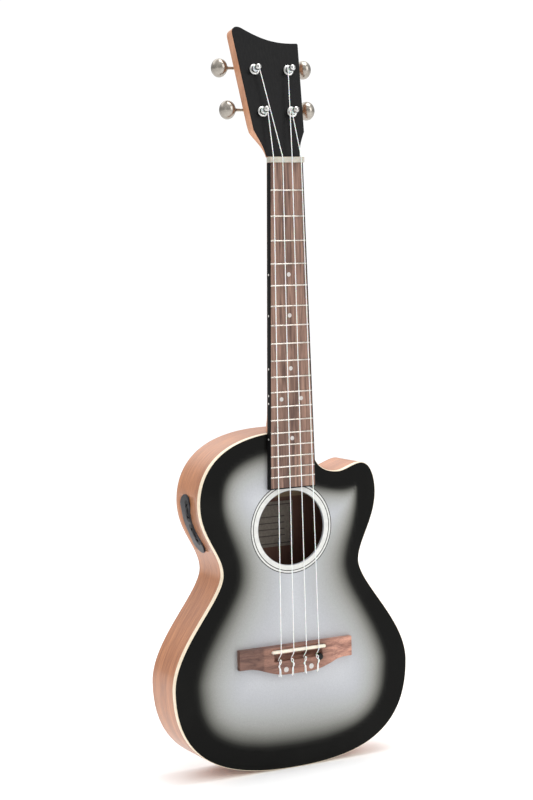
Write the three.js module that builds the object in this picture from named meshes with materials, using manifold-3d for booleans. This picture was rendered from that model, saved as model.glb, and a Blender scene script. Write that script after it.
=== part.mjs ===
// Tenor ukulele with a rounded cutaway, geared tuners and a built-in preamp.
//
// Units are millimetres. +Z runs up along the neck, the soundboard faces -Y, and +X is the treble side,
// where the cutaway is. The origin is under the middle of the body, at the tail.

import * as THREE from "three";
import * as BufferGeometryUtils from "three/addons/utils/BufferGeometryUtils.js";
import Module from "manifold-3d";

const wasm = await Module();
wasm.setup();

// ---------------------------------------------------------------- driving dimensions

const SCALE_LENGTH = 431.8; // nut to the saddle's nominal line, a 17 inch tenor scale
const NUT_Z = 546.4; // string side of the nut
const SADDLE_Z = NUT_Z - SCALE_LENGTH - 4; // set back 4 mm to play in tune

const BODY_TOP_Z = 308; // where the neck meets the body
const BODY_DEPTH = 48;
const TOP_Y = -18; // front face of the soundboard
const BACK_Y = TOP_Y + BODY_DEPTH;
const TOP_THICKNESS = 2.2;
const BACK_THICKNESS = 2.2;
const SIDE_THICKNESS = 2;
const BINDING_WIDTH = 1.6;
const BINDING_HEIGHT = 5.2;
const LINING_WIDTH = 6;
const LINING_HEIGHT = 6;
const GLUE_GAP = 0.1; // clearance between curved faces that are glued together
const CUT_GAP = 0.3; // clearance where one piece is shaped round another

const HOLE_Z = 219.9;
const HOLE_RADIUS = 33.8;
const ROSETTE_INNER_RADIUS = 37.9;
const ROSETTE_OUTER_RADIUS = 41.8;
const ROSETTE_DEPTH = 0.8;

const FINGERBOARD_THICKNESS = 5;
const FINGERBOARD_END_Z = NUT_Z - 290;
const NUT_WIDTH = 34; // fingerboard width at the nut
const SADDLE_LINE_WIDTH = 54.1; // the same taper carried on to the scale's far end
const FRET_COUNT = 18;
const FRET_HEIGHT = 1;
const FRET_WIDTH = 1.8;
const NUT_THICKNESS = 5;
const NUT_HEIGHT = 7.2;

const HEAD_TILT = THREE.MathUtils.degToRad(14);
const HEAD_THICKNESS = 12; // with the veneer
const VENEER_THICKNESS = 1;
const VENEER_GAP = 0.2; // glue line under the veneer

const STRING_RADIUS = 0.4;
const STRING_NUT_X = [-14, -4.7, 4.7, 14];
const STRING_SADDLE_X = [-19.5, -6.5, 6.5, 19.5];

const POST_RADIUS = 2.9;
const POST_HEIGHT = 11; // above the headstock's face
const POSTS = [
  // x across the head and distance along it from the nut, in the order of the strings
  { name: "bass_lower", side: -1, x: -14.8, along: 41.5, string: 0 },
  { name: "bass_upper", side: -1, x: -17.2, along: 80.3, string: 1 },
  { name: "treble_upper", side: 1, x: 17.2, along: 80.3, string: 2 },
  { name: "treble_lower", side: 1, x: 14.8, along: 41.5, string: 3 },
];
const WORM_OFFSET = 7; // worm axis above its post, along the head
const WORM_RADIUS = 2.1;
const WORM_DEPTH = 5; // worm axis behind the head's back
const GEAR_RADIUS = 4.6;
const BUTTON_RADIUS = 8.5;
const BUTTON_LENGTH = 14.3;
const BUTTON_REACH = 18.3; // from the post's axis to the button's inner end

// ---------------------------------------------------------------- materials

const material = (color, roughness, metalness = 0) =>
  new THREE.MeshStandardMaterial({ color, roughness, metalness });

const MATERIALS = {
  burst: material(0xb4b7b5, 0.35),
  binding: material(0xf2e3c6, 0.4),
  inlay: material(0xe6e6e2, 0.4),
  mahogany: material(0xb87752, 0.5),
  innerWood: material(0xc9a27a, 0.75),
  spruce: material(0xdcc59a, 0.75),
  neckWood: material(0xc58a62, 0.5),
  veneer: material(0x1c1c1d, 0.4),
  rosewood: material(0x7d5546, 0.6),
  bone: material(0xf0ead6, 0.4),
  nylon: material(0xf4f4f2, 0.3),
  chrome: material(0xc9c9c7, 0.18, 1),
  nickel: material(0xb9b4a8, 0.25, 1),
  brass: material(0xc7a25a, 0.35, 1),
  plastic: material(0x2a2a2c, 0.5),
  darkPlastic: material(0x151516, 0.55),
  paper: material(0xe8e2cf, 0.8),
  rubber: material(0x1b1b1b, 0.8),
};

const ukulele = new THREE.Group();
ukulele.name = "ukulele";

function add(parent, name, geometry, finish) {
  const mesh = new THREE.Mesh(geometry, finish);
  mesh.name = name;
  parent.add(mesh);
  return mesh;
}

// ---------------------------------------------------------------- solids

/** A manifold solid made from a closed BufferGeometry. */
function toSolid(geometry) {
  const bare = geometry.clone();
  bare.deleteAttribute("normal");
  bare.deleteAttribute("uv");
  const merged = BufferGeometryUtils.mergeVertices(bare, 1e-4);
  return new wasm.Manifold(
    new wasm.Mesh({
      numProp: 3,
      vertProperties: new Float32Array(merged.attributes.position.array),
      triVerts: new Uint32Array(merged.index.array),
    }),
  );
}

/** The BufferGeometry of a manifold solid. */
function toGeometry(solid) {
  const mesh = solid.getMesh();
  const geometry = new THREE.BufferGeometry();
  geometry.setAttribute("position", new THREE.BufferAttribute(new Float32Array(mesh.vertProperties), 3));
  geometry.setIndex(new THREE.BufferAttribute(new Uint32Array(mesh.triVerts), 1));
  return geometry;
}

/** Takes every tool's volume out of a geometry. */
function cut(geometry, ...tools) {
  const solid = tools.reduce((rest, tool) => rest.subtract(toSolid(tool)), toSolid(geometry));
  return toGeometry(solid);
}

/** Joins geometries that overlap into one body. */
function join(geometry, ...others) {
  const solid = others.reduce((whole, other) => whole.add(toSolid(other)), toSolid(geometry));
  return toGeometry(solid);
}

/** Keeps what two geometries share. */
function overlap(first, second) {
  return toGeometry(toSolid(first).intersect(toSolid(second)));
}

/** A shape drawn in X and Z, made solid between two Y planes. */
function slabAlongY(shape, yFront, yBack) {
  const geometry = new THREE.ExtrudeGeometry(shape, {
    depth: yBack - yFront,
    bevelEnabled: false,
    curveSegments: 8,
  });
  geometry.translate(0, 0, -yBack);
  geometry.rotateX(Math.PI / 2);
  return geometry;
}

/** A shape drawn in Y and Z, made solid between two X planes. */
function slabAlongX(shape, xLow, xHigh) {
  const geometry = new THREE.ExtrudeGeometry(shape, {
    depth: xHigh - xLow,
    bevelEnabled: false,
    curveSegments: 8,
  });
  const turn = new THREE.Matrix4().set(0, 0, 1, xLow, 1, 0, 0, 0, 0, 1, 0, 0, 0, 0, 0, 1);
  geometry.applyMatrix4(turn);
  return geometry;
}

/** A box given by its low and high corners. */
function block(low, high) {
  const geometry = new THREE.BoxGeometry(high[0] - low[0], high[1] - low[1], high[2] - low[2]);
  geometry.translate((low[0] + high[0]) / 2, (low[1] + high[1]) / 2, (low[2] + high[2]) / 2);
  return geometry;
}

/** A cylinder along Y between two Y planes. */
function rodAlongY(radius, x, z, yFront, yBack, sides = 24) {
  const geometry = new THREE.CylinderGeometry(radius, radius, yBack - yFront, sides);
  geometry.translate(x, (yFront + yBack) / 2, z);
  return geometry;
}

/** A turned piece, its profile given as radius and height pairs from the axis back to the axis. */
function turned(profile, sides = 16) {
  const points = profile.map(([radius, height]) => new THREE.Vector2(radius, height));
  return new THREE.LatheGeometry(points, sides);
}

/** A tube along a curve. */
function tube(curve, radius, steps, sides = 8) {
  const section = new THREE.Shape();
  section.absarc(0, 0, radius, 0, Math.PI * 2);
  return new THREE.ExtrudeGeometry(section, {
    steps,
    curveSegments: sides,
    extrudePath: curve,
    bevelEnabled: false,
  });
}

function shapeOf(points) {
  return new THREE.Shape(points.map((point) => point.clone()));
}

// ---------------------------------------------------------------- body outline

const LOWER_HALF_WIDTH = 120;
const LOWER_Z = 85;
const WAIST_HALF_WIDTH = 70;
const WAIST_Z = 184;
const UPPER_HALF_WIDTH = 91.4;
const UPPER_Z = 246.7;
const HORN_HALF_WIDTH = 89.2;
const HORN_TIP = { x: 74, z: 274 };
const CUTAWAY_LOW = { x: 50.2, z: 267.8 };
const HEEL_HALF_WIDTH = 22.9;
const CUTAWAY_START_Z = 294.4;
const CURVE_STEPS = 8;

/** Carries a path on in a curve that leaves one point and reaches the next parallel to Z. */
function curveUp(path, [startX, startZ], [endX, endZ], startReach, endReach) {
  path.bezierCurveTo(startX, startZ + startReach, endX, endZ - endReach, endX, endZ);
}

/** The body's outer edge in X and Z, from the tail up the treble side, over the neck and down the bass. */
function bodyOutline() {
  const path = new THREE.Path();
  path.moveTo(0, 0);
  path.bezierCurveTo(60, 0, LOWER_HALF_WIDTH, LOWER_Z - 73, LOWER_HALF_WIDTH, LOWER_Z);
  curveUp(path, [LOWER_HALF_WIDTH, LOWER_Z], [WAIST_HALF_WIDTH, WAIST_Z], 38, 22);
  curveUp(path, [WAIST_HALF_WIDTH, WAIST_Z], [HORN_HALF_WIDTH, UPPER_Z], 17, 26);
  path.bezierCurveTo(HORN_HALF_WIDTH, UPPER_Z + 12, HORN_TIP.x + 11, HORN_TIP.z, HORN_TIP.x, HORN_TIP.z);
  const { x, z } = CUTAWAY_LOW;
  path.bezierCurveTo(HORN_TIP.x - 7, HORN_TIP.z, x + 7, z, x, z);
  path.bezierCurveTo(x - 21, z, HEEL_HALF_WIDTH, CUTAWAY_START_Z - 13, HEEL_HALF_WIDTH, CUTAWAY_START_Z);
  path.lineTo(HEEL_HALF_WIDTH, BODY_TOP_Z);
  path.lineTo(0, BODY_TOP_Z);
  path.bezierCurveTo(-80, BODY_TOP_Z, -UPPER_HALF_WIDTH, UPPER_Z + 22, -UPPER_HALF_WIDTH, UPPER_Z);
  curveUp(path, [-UPPER_HALF_WIDTH, UPPER_Z], [-WAIST_HALF_WIDTH, WAIST_Z], -28, -19);
  curveUp(path, [-WAIST_HALF_WIDTH, WAIST_Z], [-LOWER_HALF_WIDTH, LOWER_Z], -22, -38);
  path.bezierCurveTo(-LOWER_HALF_WIDTH, LOWER_Z - 73, -60, 0, 0, 0);
  const points = path.getPoints(CURVE_STEPS);
  return points.filter((point, i) => i === 0 || point.distanceTo(points[i - 1]) > 1e-6).slice(0, -1);
}

/** Moves a closed outline inwards, or outwards where the distance is negative, keeping its point count. */
function inset(points, distance) {
  return points.map((point, i) => {
    const before = points[(i + points.length - 1) % points.length];
    const after = points[(i + 1) % points.length];
    const first = new THREE.Vector2(before.y - point.y, point.x - before.x).normalize();
    const second = new THREE.Vector2(point.y - after.y, after.x - point.x).normalize();
    const bend = 1 + first.dot(second);
    return point.clone().add(first.add(second).multiplyScalar(distance / bend));
  });
}

/** Distance from a point to a closed outline. */
function distanceTo(points, spot) {
  return Math.min(
    ...points.map((start, i) => {
      const edge = points[(i + 1) % points.length].clone().sub(start);
      const reach = spot.clone().sub(start);
      const share = THREE.MathUtils.clamp(reach.dot(edge) / edge.lengthSq(), 0, 1);
      return reach.sub(edge.multiplyScalar(share)).length();
    }),
  );
}

/** A deep inset, with the points that fold over themselves in tight corners left out. */
function cleanInset(points, distance) {
  return inset(points, distance).filter((spot) => distanceTo(points, spot) > distance - 0.05);
}

const OUTLINE = bodyOutline();
const NECK_INDEX = OUTLINE.findIndex((point) => Math.abs(point.x) < 1e-6 && point.y > BODY_TOP_Z - 1);
const SIDE_INNER = inset(OUTLINE, SIDE_THICKNESS);

/** The half of a closed outline on one side of the centre line: 1 is treble, -1 is bass. */
function half(points, side) {
  return side > 0 ? points.slice(0, NECK_INDEX + 1) : [...points.slice(NECK_INDEX), points[0]];
}

// ---------------------------------------------------------------- body

const INSIDE_FRONT_Y = TOP_Y + TOP_THICKNESS;
const INSIDE_BACK_Y = BACK_Y - BACK_THICKNESS;

const NECK_BLOCK = { left: -24, right: 20, low: 284 };
const TAIL_BLOCK = { halfWidth: 32, top: 20 };
const WHOLE_BODY = 200; // longer than the body is wide on either side of the centre line

function circlePath(x, z, radius) {
  const hole = new THREE.Path();
  hole.absarc(x, z, radius, 0, Math.PI * 2, true);
  return hole;
}

function soundboard() {
  const shape = shapeOf(inset(OUTLINE, BINDING_WIDTH));
  const ringChannel = cut(
    rodAlongY(ROSETTE_OUTER_RADIUS + GLUE_GAP, 0, HOLE_Z, TOP_Y - 1, TOP_Y + ROSETTE_DEPTH, 40),
    rodAlongY(ROSETTE_INNER_RADIUS - GLUE_GAP, 0, HOLE_Z, TOP_Y - 2, TOP_Y + ROSETTE_DEPTH + 1, 40),
  );
  const hole = rodAlongY(HOLE_RADIUS, 0, HOLE_Z, TOP_Y - 1, INSIDE_FRONT_Y + 1, 40);
  return cut(slabAlongY(shape, TOP_Y, INSIDE_FRONT_Y), ringChannel, hole, leadHole());
}

function rosetteRing() {
  return cut(
    rodAlongY(ROSETTE_OUTER_RADIUS, 0, HOLE_Z, TOP_Y, TOP_Y + ROSETTE_DEPTH, 40),
    rodAlongY(ROSETTE_INNER_RADIUS, 0, HOLE_Z, TOP_Y - 1, TOP_Y + ROSETTE_DEPTH + 1, 40),
  );
}

function binding() {
  const shape = shapeOf(OUTLINE);
  shape.holes.push(new THREE.Path(inset(OUTLINE, BINDING_WIDTH)));
  return slabAlongY(shape, TOP_Y, TOP_Y + BINDING_HEIGHT);
}

/** A bent strip along one half of the outline, between two insets and two Y planes. */
function sideStrip(side, outer, inner, yFront, yBack) {
  const edge = [...half(outer, side), ...half(inner, side).reverse()];
  return slabAlongY(shapeOf(edge), yFront, yBack);
}

/** The glued strip in the corner between a side and a plate, stopping at the two blocks. */
function lining(side, yFront, yBack) {
  const ring = shapeOf(SIDE_INNER);
  ring.holes.push(new THREE.Path(cleanInset(OUTLINE, SIDE_THICKNESS + LINING_WIDTH)));
  const whole = slabAlongY(ring, yFront, yBack);
  const left = side > 0 ? 0 : -WHOLE_BODY;
  const ownSide = block([left, yFront - 1, -WHOLE_BODY], [left + WHOLE_BODY, yBack + 1, WHOLE_BODY * 2]);
  return cut(
    overlap(whole, ownSide),
    block(
      [NECK_BLOCK.left - CUT_GAP, yFront - 2, NECK_BLOCK.low - CUT_GAP],
      [NECK_BLOCK.right + 10, yBack + 2, BODY_TOP_Z + 20],
    ),
    block(
      [-TAIL_BLOCK.halfWidth - CUT_GAP, yFront - 2, -20],
      [TAIL_BLOCK.halfWidth + CUT_GAP, yBack + 2, TAIL_BLOCK.top + CUT_GAP],
    ),
  );
}

/** A solid block inside the body, its outer faces following the sides. */
function innerBlock(low, high) {
  const room = slabAlongY(shapeOf(inset(OUTLINE, SIDE_THICKNESS + GLUE_GAP)), INSIDE_FRONT_Y, INSIDE_BACK_Y);
  return overlap(
    room,
    block([low[0], INSIDE_FRONT_Y, low[1]], [high[0], INSIDE_BACK_Y, high[1]]),
  );
}

const CENTRE_BAND = 15; // no side of the body comes closer to the centre line than this

/** How far the inside reaches between the linings at a height, on the bass side and on the treble side. */
function insideHalfWidth(z) {
  const inner = cleanInset(OUTLINE, SIDE_THICKNESS + LINING_WIDTH + CUT_GAP);
  const reach = (side) =>
    Math.min(
      ...inner.flatMap((start, i) => {
        const end = inner[(i + 1) % inner.length];
        const crosses = (start.y - z) * (end.y - z) <= 0 && start.y !== end.y;
        const x = start.x + ((end.x - start.x) * (z - start.y)) / (end.y - start.y);
        return crosses && x * side > CENTRE_BAND ? [x * side] : [];
      }),
    );
  return { bass: reach(-1), treble: reach(1) };
}

const BRACE_WIDTH = 6;
const BRACE_HEIGHT = 9;
const BRACE_TIP_HEIGHT = 3;
const BRACE_SCOOP = 16; // length over which a brace thins towards its tip

/** A straight brace across the body, its ends scooped thin where they meet the linings. */
function crossBrace(z, yPlate, inward) {
  const lowReach = insideHalfWidth(z - BRACE_WIDTH / 2);
  const highReach = insideHalfWidth(z + BRACE_WIDTH / 2);
  const left = -Math.min(lowReach.bass, highReach.bass);
  const right = Math.min(lowReach.treble, highReach.treble);
  const tip = inward * BRACE_TIP_HEIGHT;
  const full = inward * BRACE_HEIGHT;
  const geometry = new THREE.ExtrudeGeometry(
    new THREE.Shape([
      new THREE.Vector2(left, yPlate),
      new THREE.Vector2(right, yPlate),
      new THREE.Vector2(right, yPlate + tip),
      new THREE.Vector2(right - BRACE_SCOOP, yPlate + full),
      new THREE.Vector2(left + BRACE_SCOOP, yPlate + full),
      new THREE.Vector2(left, yPlate + tip),
    ]),
    { depth: BRACE_WIDTH, bevelEnabled: false },
  );
  geometry.translate(0, 0, z - BRACE_WIDTH / 2);
  return geometry;
}

const UPPER_FACE_BRACE_Z = 262;
const LOWER_FACE_BRACE_Z = 176;
const BACK_BRACE_Z = [62, 150, 246];
const BRIDGE_PLATE = { halfWidth: 62, low: 82, high: 122, thickness: 2 };
const FAN_BRACES = [
  { name: "fan_brace_bass", x: -34 },
  { name: "fan_brace_centre", x: 0 },
  { name: "fan_brace_treble", x: 34 },
];
const FAN_WIDTH = 5;
const FAN_HEIGHT = 6;
const FAN_TIP_HEIGHT = 2;
const FAN_SCOOP = 14;

/** A light brace along the grain, notched over the bridge plate. */
function fanBrace(x) {
  const low = TAIL_BLOCK.top + 8;
  const high = LOWER_FACE_BRACE_Z - BRACE_WIDTH / 2 - 3;
  const plateBack = INSIDE_FRONT_Y + BRIDGE_PLATE.thickness;
  const back = INSIDE_FRONT_Y + FAN_HEIGHT;
  const tip = INSIDE_FRONT_Y + FAN_TIP_HEIGHT;
  const profile = new THREE.Shape([
    new THREE.Vector2(INSIDE_FRONT_Y, low),
    new THREE.Vector2(tip, low),
    new THREE.Vector2(back, low + FAN_SCOOP),
    new THREE.Vector2(back, high - FAN_SCOOP),
    new THREE.Vector2(tip, high),
    new THREE.Vector2(INSIDE_FRONT_Y, high),
    new THREE.Vector2(INSIDE_FRONT_Y, BRIDGE_PLATE.high + CUT_GAP),
    new THREE.Vector2(plateBack, BRIDGE_PLATE.high + CUT_GAP),
    new THREE.Vector2(plateBack, BRIDGE_PLATE.low - CUT_GAP),
    new THREE.Vector2(INSIDE_FRONT_Y, BRIDGE_PLATE.low - CUT_GAP),
  ]);
  return slabAlongX(profile, x - FAN_WIDTH / 2, x + FAN_WIDTH / 2);
}

const LABEL = { halfWidth: 27, low: 196, high: 238, thickness: 0.4 };

function addBody() {
  add(ukulele, "soundboard", soundboard(), MATERIALS.burst);
  add(ukulele, "rosette_ring", rosetteRing(), MATERIALS.inlay);
  add(ukulele, "top_binding", binding(), MATERIALS.binding);
  const back = slabAlongY(shapeOf(OUTLINE), INSIDE_BACK_Y, BACK_Y);
  add(ukulele, "back_plate", back, MATERIALS.mahogany);
  add(ukulele, "bass_side", bassSide(), MATERIALS.mahogany);
  add(ukulele, "treble_side", trebleSide(), MATERIALS.mahogany);
  const neckBlock = innerBlock([NECK_BLOCK.left, NECK_BLOCK.low], [NECK_BLOCK.right, BODY_TOP_Z]);
  add(ukulele, "neck_block", neckBlock, MATERIALS.innerWood);
  const tailBlock = innerBlock([-TAIL_BLOCK.halfWidth, -5], [TAIL_BLOCK.halfWidth, TAIL_BLOCK.top]);
  add(ukulele, "tail_block", tailBlock, MATERIALS.innerWood);
  for (const [name, side] of [["bass", -1], ["treble", 1]]) {
    const front = lining(side, INSIDE_FRONT_Y, INSIDE_FRONT_Y + LINING_HEIGHT);
    const rear = lining(side, INSIDE_BACK_Y - LINING_HEIGHT, INSIDE_BACK_Y);
    add(ukulele, `top_lining_${name}`, front, MATERIALS.spruce);
    add(ukulele, `back_lining_${name}`, rear, MATERIALS.spruce);
  }
  add(ukulele, "upper_face_brace", crossBrace(UPPER_FACE_BRACE_Z, INSIDE_FRONT_Y, 1), MATERIALS.spruce);
  add(ukulele, "lower_face_brace", crossBrace(LOWER_FACE_BRACE_Z, INSIDE_FRONT_Y, 1), MATERIALS.spruce);
  for (const brace of FAN_BRACES) add(ukulele, brace.name, fanBrace(brace.x), MATERIALS.spruce);
  BACK_BRACE_Z.forEach((z, i) => {
    add(ukulele, `back_brace_${i + 1}`, crossBrace(z, INSIDE_BACK_Y, -1), MATERIALS.spruce);
  });
  const plate = block(
    [-BRIDGE_PLATE.halfWidth, INSIDE_FRONT_Y, BRIDGE_PLATE.low],
    [BRIDGE_PLATE.halfWidth, INSIDE_FRONT_Y + BRIDGE_PLATE.thickness, BRIDGE_PLATE.high],
  );
  add(ukulele, "bridge_plate", cut(plate, leadHole()), MATERIALS.innerWood);
  const label = block(
    [-LABEL.halfWidth, INSIDE_BACK_Y - LABEL.thickness, LABEL.low],
    [LABEL.halfWidth, INSIDE_BACK_Y, LABEL.high],
  );
  add(ukulele, "body_label", label, MATERIALS.paper);
}

// ---------------------------------------------------------------- preamp in the bass side

const PANEL = { front: TOP_Y + 19, back: TOP_Y + 37.5, low: 201, high: 255, proud: 1.4, lip: 2 };
const HOUSING = { front: TOP_Y + 20, back: TOP_Y + 36.5, low: 206, high: 250, innerX: -58 };
const WHEEL = { radius: 9, width: 3, axleRadius: 1.2, axleLength: 8, proud: 1, y: TOP_Y + 24 };
const SLOT_CLEARANCE = 0.4; // round each thumbwheel
const POCKET_CLEARANCE = 0.6; // round each thumbwheel inside the housing, deeper than the slot in the panel
const WHEELS = [
  { name: "volume_wheel", z: 240.5 },
  { name: "tone_wheel", z: 219 },
];
const CELL = { radius: 10, thickness: 3.2, x: -70, y: TOP_Y + 32, z: 228 };

/** The point of the bass side at a height, and the way out of the body there. */
function bassEdgeAt(z) {
  const points = half(OUTLINE, -1);
  const i = points.findIndex((point, k) => k > 0 && point.y <= z && points[k - 1].y > z);
  const above = points[i - 1];
  const below = points[i];
  const share = (above.y - z) / (above.y - below.y);
  const spot = above.clone().lerp(below, share);
  const out = new THREE.Vector2(below.y - above.y, above.x - below.x).normalize();
  return { spot, out };
}

/** Centre of a thumbwheel, set so that its rim stands a little proud of the panel. */
function wheelCentre(z) {
  const { spot, out } = bassEdgeAt(z);
  return spot.add(out.multiplyScalar(PANEL.proud + WHEEL.proud - WHEEL.radius));
}

/** A long rounded outline in Y and Z, as a solid along X through the bass side. */
function panelPrism(shrink) {
  const radius = (PANEL.back - PANEL.front) / 2 - shrink;
  const y = (PANEL.front + PANEL.back) / 2;
  const top = PANEL.high - shrink - radius;
  const bottom = PANEL.low + shrink + radius;
  const shape = new THREE.Shape();
  shape.absarc(y, top, radius, 0, Math.PI, false);
  shape.absarc(y, bottom, radius, Math.PI, Math.PI * 2, false);
  return slabAlongX(shape, -110, -60);
}

function preampPanel() {
  const strip = (outer, inner) =>
    sideStrip(-1, inset(OUTLINE, outer), inset(OUTLINE, inner), PANEL.front - 2, PANEL.back + 2);
  const flange = overlap(strip(-PANEL.proud, -GLUE_GAP), panelPrism(0));
  const plug = overlap(strip(-PANEL.proud / 2, SIDE_THICKNESS + 0.6), panelPrism(PANEL.lip));
  const slots = WHEELS.flatMap(({ z }) => {
    const centre = wheelCentre(z);
    const halfWidth = WHEEL.width / 2 + CUT_GAP;
    const front = WHEEL.y - halfWidth;
    const back = WHEEL.y + halfWidth;
    const round = rodAlongY(WHEEL.radius + SLOT_CLEARANCE, centre.x, centre.y, front, back, 24);
    const mouth = block(
      [-110, front, centre.y - 6],
      [centre.x, back, centre.y + 6],
    );
    return [round, mouth];
  });
  return cut(join(flange, plug), ...slots);
}

function preampHousing() {
  const edge = half(inset(OUTLINE, SIDE_THICKNESS + 0.9), -1);
  const run = edge.filter((point) => point.y < HOUSING.high && point.y > HOUSING.low && point.x < -60);
  const top = run[0];
  const bottom = run[run.length - 1];
  const shape = shapeOf([
    new THREE.Vector2(HOUSING.innerX, top.y),
    ...run,
    new THREE.Vector2(HOUSING.innerX, bottom.y),
  ]);
  const pockets = WHEELS.flatMap(({ z }) => {
    const centre = wheelCentre(z);
    const halfWidth = WHEEL.width / 2 + 0.5;
    const halfAxle = WHEEL.axleLength / 2 + 0.2;
    const pocketRadius = WHEEL.radius + POCKET_CLEARANCE;
    return [
      rodAlongY(pocketRadius, centre.x, centre.y, WHEEL.y - halfWidth, WHEEL.y + halfWidth, 32),
      rodAlongY(WHEEL.axleRadius + 0.15, centre.x, centre.y, WHEEL.y - halfAxle, WHEEL.y + halfAxle, 12),
    ];
  });
  const halfCell = CELL.thickness / 2 + CUT_GAP;
  const cellRoom = rodAlongY(CELL.radius + CUT_GAP, CELL.x, CELL.z, CELL.y - halfCell, CELL.y + halfCell, 20);
  const cellDoor = block(
    [CELL.x, CELL.y - halfCell, CELL.z - CELL.radius - CUT_GAP],
    [HOUSING.innerX + 1, CELL.y + halfCell, CELL.z + CELL.radius + CUT_GAP],
  );
  return cut(slabAlongY(shape, HOUSING.front, HOUSING.back), ...pockets, cellRoom, cellDoor);
}

function thumbwheel(z) {
  const centre = wheelCentre(z);
  const halfWidth = WHEEL.width / 2;
  const disc = rodAlongY(WHEEL.radius, centre.x, centre.y, WHEEL.y - halfWidth, WHEEL.y + halfWidth, 24);
  const halfAxle = WHEEL.axleLength / 2;
  const axle = rodAlongY(WHEEL.axleRadius, centre.x, centre.y, WHEEL.y - halfAxle, WHEEL.y + halfAxle, 12);
  return join(disc, axle);
}

function bassSide() {
  const strip = sideStrip(-1, OUTLINE, SIDE_INNER, TOP_Y + BINDING_HEIGHT, INSIDE_BACK_Y);
  return cut(strip, panelPrism(PANEL.lip - CUT_GAP));
}

// ---------------------------------------------------------------- output jack in the treble side

const JACK = { y: TOP_Y + 28, z: LOWER_Z, boreRadius: 3.25, barrelRadius: 5.5, flangeRadius: 7.8, depth: 24 };

function trebleSide() {
  const strip = sideStrip(1, OUTLINE, SIDE_INNER, TOP_Y + BINDING_HEIGHT, INSIDE_BACK_Y);
  const hole = new THREE.CylinderGeometry(JACK.barrelRadius + CUT_GAP, JACK.barrelRadius + CUT_GAP, 20, 24);
  hole.rotateZ(Math.PI / 2);
  hole.translate(LOWER_HALF_WIDTH, JACK.y, JACK.z);
  return cut(strip, hole);
}

function outputJack() {
  const geometry = turned([
    [JACK.boreRadius, -JACK.depth],
    [JACK.barrelRadius, -JACK.depth],
    [JACK.barrelRadius, GLUE_GAP],
    [JACK.flangeRadius, GLUE_GAP],
    [JACK.flangeRadius, 1.1],
    [JACK.flangeRadius - 0.7, 1.8],
    [JACK.boreRadius, 1.8],
    [JACK.boreRadius, -JACK.depth],
  ]);
  geometry.rotateZ(-Math.PI / 2);
  geometry.translate(LOWER_HALF_WIDTH, JACK.y, JACK.z);
  return geometry;
}

// ---------------------------------------------------------------- leads inside the body

/** A route of straight runs through chosen points, its section square to the bend at each of them. */
class Route extends THREE.Curve {
  constructor(points) {
    super();
    this.points = points.map(([x, y, z]) => new THREE.Vector3(x, y, z));
  }

  getPoint(share) {
    const place = share * (this.points.length - 1);
    const i = Math.min(Math.floor(place), this.points.length - 2);
    return this.points[i].clone().lerp(this.points[i + 1], place - i);
  }

  getSpacedPoints(steps) {
    return this.getPoints(steps);
  }

  getTangentAt(share) {
    const i = Math.round(share * (this.points.length - 1));
    const before = this.points[Math.max(i - 1, 0)];
    const here = this.points[i];
    const after = this.points[Math.min(i + 1, this.points.length - 1)];
    const incoming = here.clone().sub(before).normalize();
    const outgoing = after.clone().sub(here).normalize();
    return incoming.add(outgoing).normalize();
  }
}

function bentTube(points, radius, sides = 8) {
  return tube(new Route(points), radius, points.length - 1, sides / 2);
}

const LEAD_RADIUS = 1;
const PICKUP_LEAD_X = -22;
const PICKUP_LEAD_ROUTE = [
  [PICKUP_LEAD_X, TOP_Y - 2.2, SADDLE_Z],
  [PICKUP_LEAD_X, -9, SADDLE_Z],
  [-24, -4.5, 112],
  [-32, -2, 120],
  [-43, 1, 138],
  [-49, 4, 160],
  [-50, 7, 186],
  [-51, 9, 206],
  [-54, 10, 213],
  [HOUSING.innerX + CUT_GAP, 10, 214],
];
const JACK_LEAD_ROUTE = [
  [LOWER_HALF_WIDTH - JACK.depth - CUT_GAP, JACK.y, JACK.z],
  [92, 10.5, 82],
  [92, 11.5, 74],
  [100, 12, 62],
  [98, 12, 38],
  [82, 14, 19],
  [60, 14, 13],
  [44, 14, 17],
  [30, 14, 22.6],
  [-30, 14, 22.6],
  [-44, 14, 17],
  [-60, 14, 13],
  [-82, 14, 19],
  [-100, 12, 38],
  [-110, 11, 62],
  [-113, 10, 88],
  [-104, 10, 113],
  [-84, 10, 140],
  [-68, 10, 163],
  [-62.5, 10, 184],
  [-66, 10, 198],
  [-68, 10, 203],
];

/** Hole under the saddle that the pickup lead goes through. */
function leadHole() {
  return rodAlongY(LEAD_RADIUS + 0.5, PICKUP_LEAD_X, SADDLE_Z, TOP_Y - 4, INSIDE_FRONT_Y + 5, 12);
}

function addElectronics() {
  add(ukulele, "preamp_panel", preampPanel(), MATERIALS.plastic);
  add(ukulele, "preamp_housing", preampHousing(), MATERIALS.darkPlastic);
  for (const { name, z } of WHEELS) add(ukulele, name, thumbwheel(z), MATERIALS.darkPlastic);
  const halfCell = CELL.thickness / 2;
  const cell = rodAlongY(CELL.radius, CELL.x, CELL.z, CELL.y - halfCell, CELL.y + halfCell, 20);
  add(ukulele, "coin_cell", cell, MATERIALS.nickel);
  add(ukulele, "output_jack", outputJack(), MATERIALS.chrome);
  add(ukulele, "pickup_lead", bentTube(PICKUP_LEAD_ROUTE, LEAD_RADIUS), MATERIALS.rubber);
  add(ukulele, "jack_lead", bentTube(JACK_LEAD_ROUTE, LEAD_RADIUS), MATERIALS.rubber);
}

// ---------------------------------------------------------------- neck, fingerboard and nut

const NECK_FOOT_Z = BODY_TOP_Z + CUT_GAP;
const HEAD_BASE_Z = NUT_Z + NUT_THICKNESS;

/** Half the fingerboard's width at a height. */
function fingerboardHalfWidth(z) {
  return THREE.MathUtils.lerp(NUT_WIDTH, SADDLE_LINE_WIDTH, (NUT_Z - z) / SCALE_LENGTH) / 2;
}

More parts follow.
